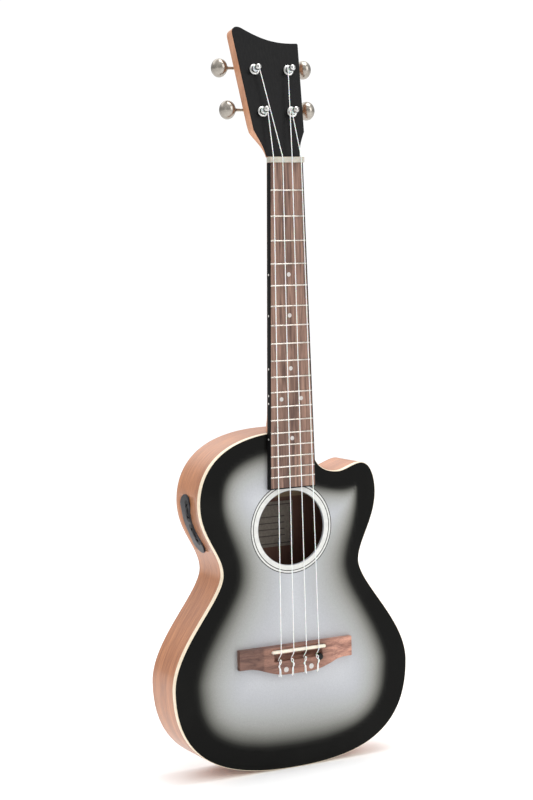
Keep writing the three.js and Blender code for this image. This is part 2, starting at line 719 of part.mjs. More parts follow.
// Height, front and back of the neck's section behind the fingerboard's glue face, and how sharply the
// section narrows towards the back: 1 is a half ellipse.
const NECK_SECTIONS = [
  { z: NECK_FOOT_Z, front: 0, back: 44, taper: 2.4 },
  { z: BODY_TOP_Z + 3, front: 0, back: 43.6, taper: 2.4 },
  { z: BODY_TOP_Z + 6, front: 0, back: 41, taper: 2.3 },
  { z: BODY_TOP_Z + 10, front: 0, back: 34.5, taper: 2.1 },
  { z: BODY_TOP_Z + 15, front: 0, back: 27.5, taper: 1.85 },
  { z: BODY_TOP_Z + 21, front: 0, back: 22, taper: 1.6 },
  { z: BODY_TOP_Z + 29, front: 0, back: 18.2, taper: 1.4 },
  { z: BODY_TOP_Z + 40, front: 0, back: 16.2, taper: 1.3 },
  { z: BODY_TOP_Z + 60, front: 0, back: 15.4, taper: 1.25 },
  { z: NUT_Z - 20, front: 0, back: 14, taper: 1.25 },
  { z: HEAD_BASE_Z, front: 0, back: 14, taper: 1.25 },
  { z: HEAD_BASE_Z + 0.2, front: 1.6, back: 14, taper: 1.25 },
  { z: HEAD_BASE_Z + 9, front: 3.9, back: 14.3, taper: 1.25 },
];
const SECTION_STEPS = 14;
const SECTION_POINT = 1.6; // above 1 each section falls away quickly behind the fingerboard

/** A closed skin through sections that all have the same number of points. */
function loft(sections) {
  const count = sections[0].length;
  const positions = sections.flat().flatMap((point) => point.toArray());
  const index = [];
  for (let ring = 0; ring < sections.length - 1; ring += 1) {
    for (let i = 0; i < count; i += 1) {
      const a = ring * count + i;
      const b = ring * count + ((i + 1) % count);
      index.push(a, b, b + count, a, b + count, a + count);
    }
  }
  const last = (sections.length - 1) * count;
  for (let i = 1; i < count - 1; i += 1) {
    index.push(0, i + 1, i);
    index.push(last, last + i, last + i + 1);
  }
  const geometry = new THREE.BufferGeometry();
  geometry.setAttribute("position", new THREE.Float32BufferAttribute(positions, 3));
  geometry.setIndex(index);
  return geometry;
}

/** One section of the neck: flat against the fingerboard, rounded at the back. */
function neckSection({ z, front, back, taper }) {
  const halfWidth = fingerboardHalfWidth(Math.min(z, NUT_Z));
  const points = [];
  for (let i = 0; i <= SECTION_STEPS; i += 1) {
    const angle = (Math.PI * i) / SECTION_STEPS;
    const across = Math.cos(angle);
    const x = halfWidth * Math.sign(across) * Math.abs(across) ** taper;
    const y = TOP_Y + THREE.MathUtils.lerp(front, back, Math.sin(angle) ** SECTION_POINT);
    points.push(new THREE.Vector3(x, y, z));
  }
  return points;
}

/** The headstock's outline across the head and along it from the nut. */
function headOutline() {
  const shape = new THREE.Shape();
  shape.moveTo(17, 0);
  shape.bezierCurveTo(17.4, 9, 20.4, 15, 24.8, 23.6);
  shape.lineTo(31.2, 104.4);
  shape.quadraticCurveTo(31.3, 106.2, 29.6, 106.2);
  shape.bezierCurveTo(8, 105, -5, 108.6, -23.5, 118.6);
  shape.bezierCurveTo(-29.5, 121.8, -34.4, 119.6, -33.8, 113);
  shape.lineTo(-25.8, 25);
  shape.bezierCurveTo(-21.6, 16, -17.6, 9, -17, 0);
  return shape;
}

/** Moves a piece of the headstock from its own frame, X across, Y back and Z along, to where it is. */
function placeHead(object) {
  object.position.set(0, TOP_Y, HEAD_BASE_Z);
  object.rotation.x = -HEAD_TILT;
  return object;
}

const POST_HOLE_RADIUS = 4.5;
const VENEER_START = 0.8; // along the head from the nut

function postHoles() {
  return POSTS.map(({ x, along }) => rodAlongY(POST_HOLE_RADIUS, x, along, -5, HEAD_THICKNESS + 5, 14));
}

function neck() {
  const wood = slabAlongY(headOutline(), VENEER_THICKNESS + VENEER_GAP, HEAD_THICKNESS);
  const head = cut(wood, ...postHoles());
  const frame = placeHead(new THREE.Object3D());
  frame.updateMatrix();
  head.applyMatrix4(frame.matrix);
  return join(loft(NECK_SECTIONS.map(neckSection)), head);
}

function headVeneer() {
  const sheet = slabAlongY(headOutline(), 0, VENEER_THICKNESS);
  const room = block([-60, -5, VENEER_START], [60, 5, 200]);
  return cut(overlap(sheet, room), ...postHoles());
}

function fretZ(number) {
  return NUT_Z - SCALE_LENGTH * (1 - 2 ** (-number / 12));
}

function fingerboard() {
  const low = fingerboardHalfWidth(FINGERBOARD_END_Z);
  const high = fingerboardHalfWidth(NUT_Z);
  const board = slabAlongY(
    new THREE.Shape([
      new THREE.Vector2(-low, FINGERBOARD_END_Z),
      new THREE.Vector2(low, FINGERBOARD_END_Z),
      new THREE.Vector2(high, NUT_Z),
      new THREE.Vector2(-high, NUT_Z),
    ]),
    TOP_Y - FINGERBOARD_THICKNESS,
    TOP_Y,
  );
  const faceY = TOP_Y - FINGERBOARD_THICKNESS;
  const frets = Array.from({ length: FRET_COUNT }, (_, i) => {
    const z = fretZ(i + 1);
    const reach = fingerboardHalfWidth(z) - 0.3;
    return block([-reach, faceY - FRET_HEIGHT, z - FRET_WIDTH / 2], [reach, faceY + 0.5, z + FRET_WIDTH / 2]);
  });
  return join(board, ...frets);
}

const STRING_NUT_Y = TOP_Y - 7.05; // middle of each string over the nut
const STRING_SADDLE_Y = TOP_Y - 11.5; // middle of each string over the saddle
const NUT_SLOT_HALF_WIDTH = 0.55;

function nut() {
  const reach = NUT_WIDTH / 2 + 0.3;
  const body = block([-reach, TOP_Y - NUT_HEIGHT, NUT_Z], [reach, TOP_Y, HEAD_BASE_Z]);
  const slots = STRING_NUT_X.map((x) =>
    block(
      [x - NUT_SLOT_HALF_WIDTH, TOP_Y - NUT_HEIGHT - 1, NUT_Z - 1],
      [x + NUT_SLOT_HALF_WIDTH, STRING_NUT_Y + NUT_SLOT_HALF_WIDTH, HEAD_BASE_Z + 1],
    ),
  );
  return cut(body, ...slots);
}

// ---------------------------------------------------------------- bridge, saddle and strings

const BRIDGE = { halfWidth: 58, top: 114.9, endLow: 97, middleLow: 88.7, thickness: 8.5, endThickness: 5 };
const SADDLE = { halfWidth: 27.5, thickness: 2.8, low: TOP_Y - 3.8, high: TOP_Y - 11 };
const RECESS = { halfWidth: 25, low: 101.5, high: 108, floor: TOP_Y - 4.5 };
const TIE_HOLE = { radius: 0.8, y: RECESS.floor - 1.3 };
const PIEZO = { halfWidth: 27, thickness: 2.2, low: TOP_Y - 2.5, high: TOP_Y - 3.7 };

function bridge() {
  const outline = new THREE.Shape();
  outline.moveTo(-BRIDGE.halfWidth, BRIDGE.top);
  outline.lineTo(-BRIDGE.halfWidth, BRIDGE.endLow);
  outline.lineTo(-50, BRIDGE.endLow);
  outline.bezierCurveTo(-36, BRIDGE.endLow, -28, BRIDGE.middleLow, -10, BRIDGE.middleLow);
  outline.lineTo(10, BRIDGE.middleLow);
  outline.bezierCurveTo(28, BRIDGE.middleLow, 36, BRIDGE.endLow, 50, BRIDGE.endLow);
  outline.lineTo(BRIDGE.halfWidth, BRIDGE.endLow);
  outline.lineTo(BRIDGE.halfWidth, BRIDGE.top);
  const blank = slabAlongY(outline, TOP_Y - BRIDGE.thickness, TOP_Y);
  const wings = new THREE.Shape();
  const crest = TOP_Y - BRIDGE.thickness;
  const end = TOP_Y - BRIDGE.endThickness;
  wings.moveTo(-BRIDGE.halfWidth - 1, TOP_Y + 1);
  wings.lineTo(BRIDGE.halfWidth + 1, TOP_Y + 1);
  wings.lineTo(BRIDGE.halfWidth + 1, end);
  wings.quadraticCurveTo(43, end, 35, crest - 0.01);
  wings.lineTo(-35, crest - 0.01);
  wings.quadraticCurveTo(-43, end, -BRIDGE.halfWidth - 1, end);
  const profile = new THREE.ExtrudeGeometry(wings, { depth: 60, bevelEnabled: false, curveSegments: 6 });
  profile.translate(0, 0, 70);
  const slot = block(
    [-SADDLE.halfWidth - GLUE_GAP, crest - 1, SADDLE_Z - SADDLE.thickness / 2 - GLUE_GAP],
    [SADDLE.halfWidth + GLUE_GAP, PIEZO.low, SADDLE_Z + SADDLE.thickness / 2 + GLUE_GAP],
  );
  const recess = block(
    [-RECESS.halfWidth, crest - 1, RECESS.low],
    [RECESS.halfWidth, RECESS.floor, RECESS.high],
  );
  const holes = STRING_SADDLE_X.map((x) => {
    const length = RECESS.low - BRIDGE.middleLow + 6;
    const rod = new THREE.CylinderGeometry(TIE_HOLE.radius, TIE_HOLE.radius, length, 8);
    rod.rotateX(Math.PI / 2);
    rod.translate(x, TIE_HOLE.y, (RECESS.low + BRIDGE.middleLow) / 2);
    return rod;
  });
  return cut(overlap(blank, profile), slot, recess, leadHole(), ...holes);
}

const WINDING_HEIGHT = 5; // above the headstock's face, where each string leaves its post
const POST_CLEARANCE = 0.5; // between a string's end and its post

/** The point where a string meets its post, on the side nearest the middle of the head. */
function postPoint({ side, x, along }) {
  const inner = x - side * (POST_RADIUS + STRING_RADIUS + POST_CLEARANCE);
  const point = new THREE.Vector3(inner, -WINDING_HEIGHT, along - 1);
  const frame = placeHead(new THREE.Object3D());
  frame.updateMatrix();
  return point.applyMatrix4(frame.matrix).toArray();
}

function stringRoute(post) {
  const saddleX = STRING_SADDLE_X[post.string];
  const nutX = STRING_NUT_X[post.string];
  return [
    [saddleX, TIE_HOLE.y, RECESS.low + 1],
    [saddleX, STRING_SADDLE_Y, SADDLE_Z - 2],
    [saddleX, STRING_SADDLE_Y, SADDLE_Z + 1.5],
    [nutX, STRING_NUT_Y, NUT_Z - 0.5],
    [nutX, STRING_NUT_Y, HEAD_BASE_Z + 0.5],
    postPoint(post),
  ];
}

function addBridgeAndStrings() {
  add(ukulele, "bridge", bridge(), MATERIALS.rosewood);
  const saddle = block(
    [-SADDLE.halfWidth, SADDLE.high, SADDLE_Z - SADDLE.thickness / 2],
    [SADDLE.halfWidth, SADDLE.low, SADDLE_Z + SADDLE.thickness / 2],
  );
  add(ukulele, "saddle", saddle, MATERIALS.bone);
  const piezo = block(
    [-PIEZO.halfWidth, PIEZO.high, SADDLE_Z - PIEZO.thickness / 2],
    [PIEZO.halfWidth, PIEZO.low, SADDLE_Z + PIEZO.thickness / 2],
  );
  add(ukulele, "piezo_strip", piezo, MATERIALS.brass);
  for (const post of POSTS) {
    const geometry = bentTube(stringRoute(post), STRING_RADIUS);
    add(ukulele, `string_${post.string + 1}`, geometry, MATERIALS.nylon);
  }
}

function addNeck() {
  add(ukulele, "neck", neck(), MATERIALS.neckWood);
  add(ukulele, "fingerboard", fingerboard(), MATERIALS.rosewood);
  add(ukulele, "nut", nut(), MATERIALS.bone);
}

// ---------------------------------------------------------------- tuners

const PLATE = { front: HEAD_THICKNESS + 0.3, thickness: 1.2, halfWidth: 9.6, below: 6.5, above: 11.5 };
const WORM_Y = HEAD_THICKNESS + WORM_DEPTH;
const EAR = { near: 6.1, far: 7.9, halfHeight: 3 };
const SHAFT = { innerRadius: 1.2, outerRadius: 1.5, innerEnd: 8.6 };
const WORM_HALF_LENGTH = 5.6;

/** Mounting plate behind the head, with two ears that carry the worm shaft. */
function tunerPlate({ x, along }) {
  const base = block(
    [x - PLATE.halfWidth, PLATE.front, along - PLATE.below],
    [x + PLATE.halfWidth, PLATE.front + PLATE.thickness, along + PLATE.above],
  );
  const wormZ = along + WORM_OFFSET;
  const ears = [-1, 1].map((end) => {
    const nearX = x + end * EAR.near;
    const farX = x + end * EAR.far;
    return block(
      [Math.min(nearX, farX), PLATE.front + 0.4, wormZ - EAR.halfHeight],
      [Math.max(nearX, farX), WORM_Y + EAR.halfHeight, wormZ + EAR.halfHeight],
    );
  });
  const wormHole = new THREE.CylinderGeometry(SHAFT.outerRadius + 0.2, SHAFT.outerRadius + 0.2, 40, 12);
  wormHole.rotateZ(Math.PI / 2);
  wormHole.translate(x, WORM_Y, wormZ);
  const postHole = rodAlongY(3, x, along, PLATE.front - 1, PLATE.front + PLATE.thickness + 0.1, 16);
  return cut(join(base, ...ears), wormHole, postHole);
}

/** Worm, shaft and round button, turned as one about X. */
function tunerKey({ side, x, along }) {
  const start = BUTTON_REACH;
  const end = BUTTON_REACH + BUTTON_LENGTH;
  const geometry = turned(
    [
      [0, -SHAFT.innerEnd],
      [SHAFT.innerRadius, -SHAFT.innerEnd],
      [SHAFT.innerRadius, -WORM_HALF_LENGTH],
      [WORM_RADIUS, -WORM_HALF_LENGTH],
      [WORM_RADIUS, WORM_HALF_LENGTH],
      [SHAFT.outerRadius, WORM_HALF_LENGTH],
      [SHAFT.outerRadius, start - 1.5],
      [2.4, start + 0.3],
      [5.6, start + 1.8],
      [7.7, start + 4.2],
      [BUTTON_RADIUS, start + 7.3],
      [7.7, end - 4],
      [5.6, end - 1.7],
      [2.4, end - 0.3],
      [0, end],
    ],
    14,
  );
  geometry.rotateZ(-Math.PI / 2);
  if (side < 0) geometry.rotateY(Math.PI);
  geometry.translate(x, WORM_Y, along + WORM_OFFSET);
  return geometry;
}

/** String post with its worm wheel behind the head, turned about Y. */
function stringPost({ x, along }) {
  const gearFront = WORM_Y - 2;
  const gearBack = WORM_Y + 2;
  const geometry = turned(
    [
      [0, -POST_HEIGHT],
      [1.9, -POST_HEIGHT],
      [POST_RADIUS, -POST_HEIGHT + 1.2],
      [POST_RADIUS, -7.4],
      [2.3, -6.8],
      [2.3, -3.6],
      [POST_RADIUS, -3],
      [POST_RADIUS, HEAD_THICKNESS - 3],
      [2.4, HEAD_THICKNESS - 3],
      [2.4, gearFront],
      [GEAR_RADIUS, gearFront],
      [GEAR_RADIUS, gearBack],
      [2.6, gearBack],
      [2.6, gearBack + 1.2],
      [0, gearBack + 1.2],
    ],
    12,
  );
  geometry.translate(x, 0, along);
  return geometry;
}

/** Flanged sleeve that guides the post at the front of the head. */
function bushing({ x, along }) {
  const bore = POST_RADIUS + 0.3;
  const geometry = turned(
    [
      [bore, HEAD_THICKNESS - 4],
      [bore, -2.2],
      [4, -2.2],
      [5, -1.2],
      [5.2, -0.3],
      [4.2, -0.3],
      [4.2, HEAD_THICKNESS - 4],
      [bore, HEAD_THICKNESS - 4],
    ],
    14,
  );
  geometry.translate(x, 0, along);
  return geometry;
}

function addHead() {
  const head = placeHead(new THREE.Group());
  ukulele.add(head);
  add(head, "headstock_veneer", headVeneer(), MATERIALS.veneer);
  for (const post of POSTS) {
    add(head, `tuner_plate_${post.name}`, tunerPlate(post), MATERIALS.nickel);
    add(head, `tuner_key_${post.name}`, tunerKey(post), MATERIALS.chrome);
    add(head, `string_post_${post.name}`, stringPost(post), MATERIALS.chrome);
    add(head, `post_bushing_${post.name}`, bushing(post), MATERIALS.chrome);
  }
}

addBody();
addElectronics();
addNeck();
addBridgeAndStrings();
addHead();

export default ukulele;
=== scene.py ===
import math

import bmesh
import bpy
import numpy as np
from mathutils import Matrix, Vector
from mathutils.geometry import delaunay_2d_cdt

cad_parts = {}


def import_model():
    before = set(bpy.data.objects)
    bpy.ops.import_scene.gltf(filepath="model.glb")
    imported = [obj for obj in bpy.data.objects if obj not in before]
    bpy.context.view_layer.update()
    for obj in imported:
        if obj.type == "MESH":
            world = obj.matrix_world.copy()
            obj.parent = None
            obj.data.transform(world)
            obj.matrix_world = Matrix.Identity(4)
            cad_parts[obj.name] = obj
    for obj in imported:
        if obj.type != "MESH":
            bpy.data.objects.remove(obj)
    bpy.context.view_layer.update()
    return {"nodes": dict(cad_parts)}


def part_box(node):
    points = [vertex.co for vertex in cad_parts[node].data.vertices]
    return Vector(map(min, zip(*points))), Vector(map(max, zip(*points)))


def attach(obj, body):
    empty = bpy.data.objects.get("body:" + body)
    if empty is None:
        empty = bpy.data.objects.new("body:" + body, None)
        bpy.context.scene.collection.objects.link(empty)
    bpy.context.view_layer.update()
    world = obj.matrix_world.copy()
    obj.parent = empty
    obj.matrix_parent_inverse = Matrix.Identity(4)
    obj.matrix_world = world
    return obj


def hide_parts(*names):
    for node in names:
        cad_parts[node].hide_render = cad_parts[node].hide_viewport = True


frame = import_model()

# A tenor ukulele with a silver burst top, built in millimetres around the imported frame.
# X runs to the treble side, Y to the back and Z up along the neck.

MM = 0.001

# ---------------------------------------------------------------- dimensions, as in the CAD model

SCALE_LENGTH = 431.8
NUT_Z = 546.4
SADDLE_Z = NUT_Z - SCALE_LENGTH - 4
BODY_TOP_Z = 308
TOP_Y = -18
BACK_Y = 30
TOP_THICKNESS = 2.2
BACK_THICKNESS = 2.2
SIDE_THICKNESS = 2
BINDING_WIDTH = 1.6
BINDING_HEIGHT = 5.2

HOLE_Z = 219.9
HOLE_RADIUS = 33.8

FINGERBOARD_THICKNESS = 5
FINGERBOARD_FACE_Y = TOP_Y - FINGERBOARD_THICKNESS
FINGERBOARD_END_Z = NUT_Z - 290
NUT_WIDTH = 34
SADDLE_LINE_WIDTH = 54.1
FRET_COUNT = 18
NUT_THICKNESS = 5
NUT_HEIGHT = 7.2
HEAD_BASE_Z = NUT_Z + NUT_THICKNESS
HEAD_TILT = math.radians(14)
HEAD_THICKNESS = 12
VENEER_THICKNESS = 1

STRING_RADIUS = 0.4
STRING_NUT_X = [-14, -4.7, 4.7, 14]
STRING_SADDLE_X = [-19.5, -6.5, 6.5, 19.5]
STRING_NUT_Y = TOP_Y - 7.05
STRING_SADDLE_Y = TOP_Y - 11.5

POSTS = [
    # name, side, x across the head, distance along it from the nut, string
    ("bass_lower", -1, -14.8, 41.5, 0),
    ("bass_upper", -1, -17.2, 80.3, 1),
    ("treble_upper", 1, 17.2, 80.3, 2),
    ("treble_lower", 1, 14.8, 41.5, 3),
]

# ---------------------------------------------------------------- mesh helpers

scene = bpy.context.scene
SHARP_DEGREES = 35


def head_to_world(x, y, along):
    """A point of the headstock, X across, Y back and along it from the nut, in the row frame."""
    sine, cosine = math.sin(HEAD_TILT), math.cos(HEAD_TILT)
    return x, TOP_Y + y * cosine + along * sine, HEAD_BASE_Z - y * sine + along * cosine


def mesh_object(name, points, faces, material, sharp=SHARP_DEGREES, uvs=None, weighted=False):
    """A smooth-shaded object from points in millimetres, with edges above the sharp angle kept crisp."""
    mesh = bpy.data.meshes.new(name)
    mesh.from_pydata([(x * MM, y * MM, z * MM) for x, y, z in points], [], faces)
    if uvs is not None:
        layer = mesh.uv_layers.new(name="grain")
        for loop in mesh.loops:
            u, v = uvs[loop.vertex_index]
            layer.data[loop.index].uv = (u * MM, v * MM)
    tidy_normals(mesh)
    mesh.materials.append(material)
    mesh.shade_smooth()
    mesh.set_sharp_from_angle(angle=math.radians(sharp))
    obj = bpy.data.objects.new(name, mesh)
    scene.collection.objects.link(obj)
    if weighted:
        even = obj.modifiers.new("even_normals", "WEIGHTED_NORMAL")
        even.keep_sharp = True
    return obj


def tidy_normals(mesh):
    work = bmesh.new()
    work.from_mesh(mesh)
    bmesh.ops.remove_doubles(work, verts=work.verts, dist=1e-6)
    bmesh.ops.recalc_face_normals(work, faces=work.faces)
    work.to_mesh(mesh)
    work.free()


def piece(obj, body="body", replaces=()):
    """Makes an object a piece of the ukulele."""
    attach(obj, body)
    if replaces:
        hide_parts(*replaces)
    return obj


def merged(name, parts):
    """Joins objects into one and removes them. Materials keep the order in which they first appear."""
    points, faces, materials, indices, smooth = [], [], [], [], []
    for part in parts:
        offset = len(points)
        points.extend(tuple(v.co) for v in part.data.vertices)
        for material in part.data.materials:
            if material not in materials:
                materials.append(material)
        for polygon in part.data.polygons:
            faces.append([offset + i for i in polygon.vertices])
            indices.append(materials.index(part.data.materials[polygon.material_index]))
    mesh = bpy.data.meshes.new(name)
    mesh.from_pydata(points, [], faces)
    for material in materials:
        mesh.materials.append(material)
    mesh.polygons.foreach_set("material_index", indices)
    mesh.shade_smooth()
    mesh.set_sharp_from_angle(angle=math.radians(SHARP_DEGREES))
    obj = bpy.data.objects.new(name, mesh)
    scene.collection.objects.link(obj)
    for part in parts:
        bpy.data.objects.remove(part)
    return obj


def carve(obj, *cutters):
    """Cuts the cutters out of an object and removes them."""
    for cutter in cutters:
        cut = obj.modifiers.new("cut", "BOOLEAN")
        cut.operation = "DIFFERENCE"
        cut.solver = "EXACT"
        cut.object = cutter
    bpy.context.view_layer.update()
    depsgraph = bpy.context.evaluated_depsgraph_get()
    result = bpy.data.meshes.new_from_object(obj.evaluated_get(depsgraph))
    obj.modifiers.clear()
    obj.data = result
    for cutter in cutters:
        bpy.data.objects.remove(cutter)
    return obj


def grid_faces(rings, count, closed=True):
    """Quads between rings that each have count points."""
    faces = []
    last = count if closed else count - 1
    for ring in range(rings - 1):
        for i in range(last):
            a, b = ring * count + i, ring * count + (i + 1) % count
            faces.append([a, b, b + count, a + count])
    return faces


def loft(name, rings, material, caps=True, **options):
    """A closed skin through rings of points."""
    count = len(rings[0])
    points = [p for ring in rings for p in ring]
    faces = grid_faces(len(rings), count)
    if caps:
        faces.append(list(range(count))[::-1])
        faces.append([(len(rings) - 1) * count + i for i in range(count)])
    return mesh_object(name, points, faces, material, **options)


def turned_ring(place, height, radius, sides):
    """Points round the first axis of place. The radius is a number, or a function of the angle."""
    ring = []
    for i in range(sides):
        angle = 2 * math.pi * i / sides
        reach = radius(angle) if callable(radius) else radius
        ring.append(place(height, reach * math.cos(angle), reach * math.sin(angle)))
    return ring


def lathe(name, profile, place, material, sides=48, **options):
    """A piece turned about the first axis of place: profile holds (height, radius) pairs."""
    rings = [turned_ring(place, height, radius, sides) for height, radius in profile]
    return loft(name, rings, material, **options)


def rectangle(left, low, right, high):
    return [(left, low), (right, low), (right, high), (left, high)]


def rounded(corners, radius, steps=4):
    """A closed profile or path with its corners rounded."""
    result = []
    for i, corner in enumerate(corners):
        here = Vector(corner)
        before = Vector(corners[i - 1]) - here
        after = Vector(corners[(i + 1) % len(corners)]) - here
        reach = min(radius, before.length / 2, after.length / 2)
        first, last = here + before.normalized() * reach, here + after.normalized() * reach
        for k in range(steps + 1):
            t = k / steps
            result.append(tuple(first * (1 - t) ** 2 + here * 2 * t * (1 - t) + last * t**2))
    return result


def smooth_path(points, steps=8):
    """A smooth curve through points, as a list of vectors."""
    vectors = [Vector(p) for p in points]
    vectors = [vectors[0] * 2 - vectors[1], *vectors, vectors[-1] * 2 - vectors[-2]]
    result = []
    for i in range(1, len(vectors) - 2):
        a, b, c, d = vectors[i - 1 : i + 3]
        for k in range(steps):
            t = k / steps
            square, cube = 2 * a - 5 * b + 4 * c - d, 3 * b - a - 3 * c + d
            result.append(0.5 * (2 * b + (c - a) * t + square * t**2 + cube * t**3))
    result.append(vectors[-2])
    return result


def smooth_rows(rows, steps):
    """Rows of numbers with more rows between them, each column following a smooth monotonic curve."""
    table = np.array(rows, float)
    place = table[:, 0]
    runs = [np.linspace(a, b, steps, endpoint=False) for a, b in zip(place, place[1:])]
    dense = np.concatenate([*runs, place[-1:]])
    columns = [dense]
    for values in table.T[1:]:
        gaps, rises = np.diff(place), np.diff(values) / np.diff(place)
        slopes = np.concatenate([[rises[0]], np.zeros(len(rises) - 1), [rises[-1]]])
        same_way = rises[:-1] * rises[1:] > 0
        mean = 2 * rises[:-1] * rises[1:] / np.where(same_way, rises[:-1] + rises[1:], 1)
        slopes[1:-1] = np.where(same_way, mean, 0)
        index = np.clip(np.searchsorted(place, dense, side="right") - 1, 0, len(gaps) - 1)
        t = (dense - place[index]) / gaps[index]
        start, end = values[index], values[index + 1]
        curve = (2 * t**3 - 3 * t**2 + 1) * start + (3 * t**2 - 2 * t**3) * end
        curve += ((t**3 - 2 * t**2 + t) * slopes[index] + (t**3 - t**2) * slopes[index + 1]) * gaps[index]
        columns.append(curve)
    return np.stack(columns, axis=1).tolist()


def tube(name, path, radius, material, sides=12, **options):
    """A round tube along a path; radius is a number or one number for each point."""
    path = [Vector(p) for p in path]
    radii = radius if isinstance(radius, list) else [radius] * len(path)
    tangents = []
    for i in range(len(path)):
        after, before = path[min(i + 1, len(path) - 1)], path[max(i - 1, 0)]
        tangents.append((after - before).normalized())
    side = tangents[0].orthogonal().normalized()
    rings = []
    for i, (point, tangent) in enumerate(zip(path, tangents)):
        if i:
            side = (tangents[i - 1].rotation_difference(tangent) @ side).normalized()
        up = tangent.cross(side)
        ring = []
        for k in range(sides):
            angle = 2 * math.pi * k / sides
            ring.append(tuple(point + (side * math.cos(angle) + up * math.sin(angle)) * radii[i]))
        rings.append(ring)
    return loft(name, rings, material, **options)


# ---------------------------------------------------------------- outlines

CURVE_STEPS = 28


def bezier(start, first, second, end, steps=CURVE_STEPS):
    """Points of a cubic curve without its end point."""
    points = []
    for i in range(steps):
        t = i / steps
        weights = ((1 - t) ** 3, 3 * (1 - t) ** 2 * t, 3 * (1 - t) * t * t, t**3)
        corners = (start, first, second, end)
        points.append(tuple(sum(w * c[k] for w, c in zip(weights, corners)) for k in (0, 1)))
    return points


def curve_chain(start, *parts):
    """A closed outline of curves (two handles and an end point) and straight runs (one end point)."""
    points, here = [], start
    for part in parts:
        if len(part) == 3:
            points += bezier(here, *part)
            here = part[2]
        else:
            points += bezier(here, here, part[0], part[0], 6)
            here = part[0]
    return points


BODY_OUTLINE = curve_chain(
    (0, 0),
    ((60, 0), (120, 12), (120, 85)),
    ((120, 123), (70, 162), (70, 184)),
    ((70, 201), (89.2, 220.7), (89.2, 246.7)),
    ((89.2, 258.7), (85, 274), (74, 274)),
    ((67, 274), (57.2, 267.8), (50.2, 267.8)),
    ((29.2, 267.8), (22.9, 281.4), (22.9, 294.4)),
    ((22.9, 308),),
    ((0, 308),),
    ((-80, 308), (-91.4, 268.7), (-91.4, 246.7)),
    ((-91.4, 218.7), (-70, 203), (-70, 184)),
    ((-70, 162), (-120, 123), (-120, 85)),
    ((-120, 12), (-60, 0), (0, 0)),
)
NECK_INDEX = min(range(len(BODY_OUTLINE)), key=lambda i: math.dist(BODY_OUTLINE[i], (0, BODY_TOP_Z)))


def inset(points, distance):
    """Moves a closed outline to its left, which is inwards where it runs anticlockwise."""
    result = []
    for i, (x, z) in enumerate(points):
        bx, bz = points[i - 1]
        ax, az = points[(i + 1) % len(points)]
        first = Vector((bz - z, x - bx)).normalized()
        second = Vector((z - az, ax - x)).normalized()
        move = (first + second) * (distance / (1 + first.dot(second)))
        result.append((x + move.x, z + move.y))
    return result


def circle(x, z, radius, steps=64, clockwise=False):
    turn = -1 if clockwise else 1
    angles = [turn * 2 * math.pi * i / steps for i in range(steps)]
    return [(x + radius * math.cos(a), z + radius * math.sin(a)) for a in angles]


def distances(spots, outline):
    """Distance from each spot to a closed outline."""
    spots, start = np.array(spots, float), np.array(outline, float)
    edge = np.roll(start, -1, axis=0) - start
    reach = spots[:, None, :] - start[None, :, :]
    share = np.clip((reach * edge).sum(2) / (edge**2).sum(1), 0, 1)
    gap = reach - share[..., None] * edge
    return np.sqrt((gap**2).sum(2)).min(1)


def inside(spots, outline):
    """Whether each spot lies inside a closed outline."""
    spots, start = np.array(spots, float), np.array(outline, float)
    end = np.roll(start, -1, axis=0)
    x, z = spots[:, :1], spots[:, 1:]
    crosses = (start[:, 1] > z) != (end[:, 1] > z)
    rise = np.where(end[:, 1] == start[:, 1], 1, end[:, 1] - start[:, 1])
    meet = start[:, 0] + (end[:, 0] - start[:, 0]) * (z - start[:, 1]) / rise
    return (crosses & (x < meet)).sum(1) % 2 == 1


def fill(loops, spacing=None):
    """Triangles over an outline and its holes, as points and faces; the points start with the loops' own."""
    points = [p for loop in loops for p in loop]
    edges, offset = [], 0
    for loop in loops:
        edges += [(offset + i, offset + (i + 1) % len(loop)) for i in range(len(loop))]
        offset += len(loop)
    if spacing:
        low, high = np.min(loops[0], axis=0), np.max(loops[0], axis=0)
        columns = np.arange(low[0] + spacing / 2, high[0], spacing)
        rows = np.arange(low[1] + spacing / 2, high[1], spacing)
        spots = np.array([(x, z) for z in rows for x in columns])
        keep = inside(spots, loops[0])
        for hole in loops[1:]:
            keep &= ~inside(spots, hole)
        for loop in loops:
            keep &= distances(spots, loop) > spacing * 0.6
        points = points + [tuple(p) for p in spots[keep]]
    vertices, _, faces, *_ = delaunay_2d_cdt([Vector(p) for p in points], edges, [], 1, 1e-5)
    vertices = [tuple(v) for v in vertices]
    if len(loops) > 1:
        centres = [np.mean([vertices[i] for i in face], axis=0) for face in faces]
        in_hole = np.any([inside(centres, hole) for hole in loops[1:]], axis=0)
        faces = [face for face, out in zip(faces, in_hole) if not out]
    return vertices, [list(face) for face in faces]


def edge_profile(front, back, front_radius=0.0, back_radius=0.0, steps=4):
    """(inset, height) pairs over a plate's edge, from its front face to its back face."""
    angles = [math.pi / 2 * (i / steps) for i in range(steps + 1)]
    pairs = []
    for height, radius, turn in ((front, front_radius, 1), (back, back_radius, -1)):
        arc = [(0.0, height)]
        if radius:
            arc = [(radius * (1 - math.sin(a)), height + turn * radius * (1 - math.cos(a))) for a in angles]
        pairs += arc[::turn]
    return pairs


def flat(u, v, height):
    """Lays a plate in the plane of the soundboard."""
    return u, height, v


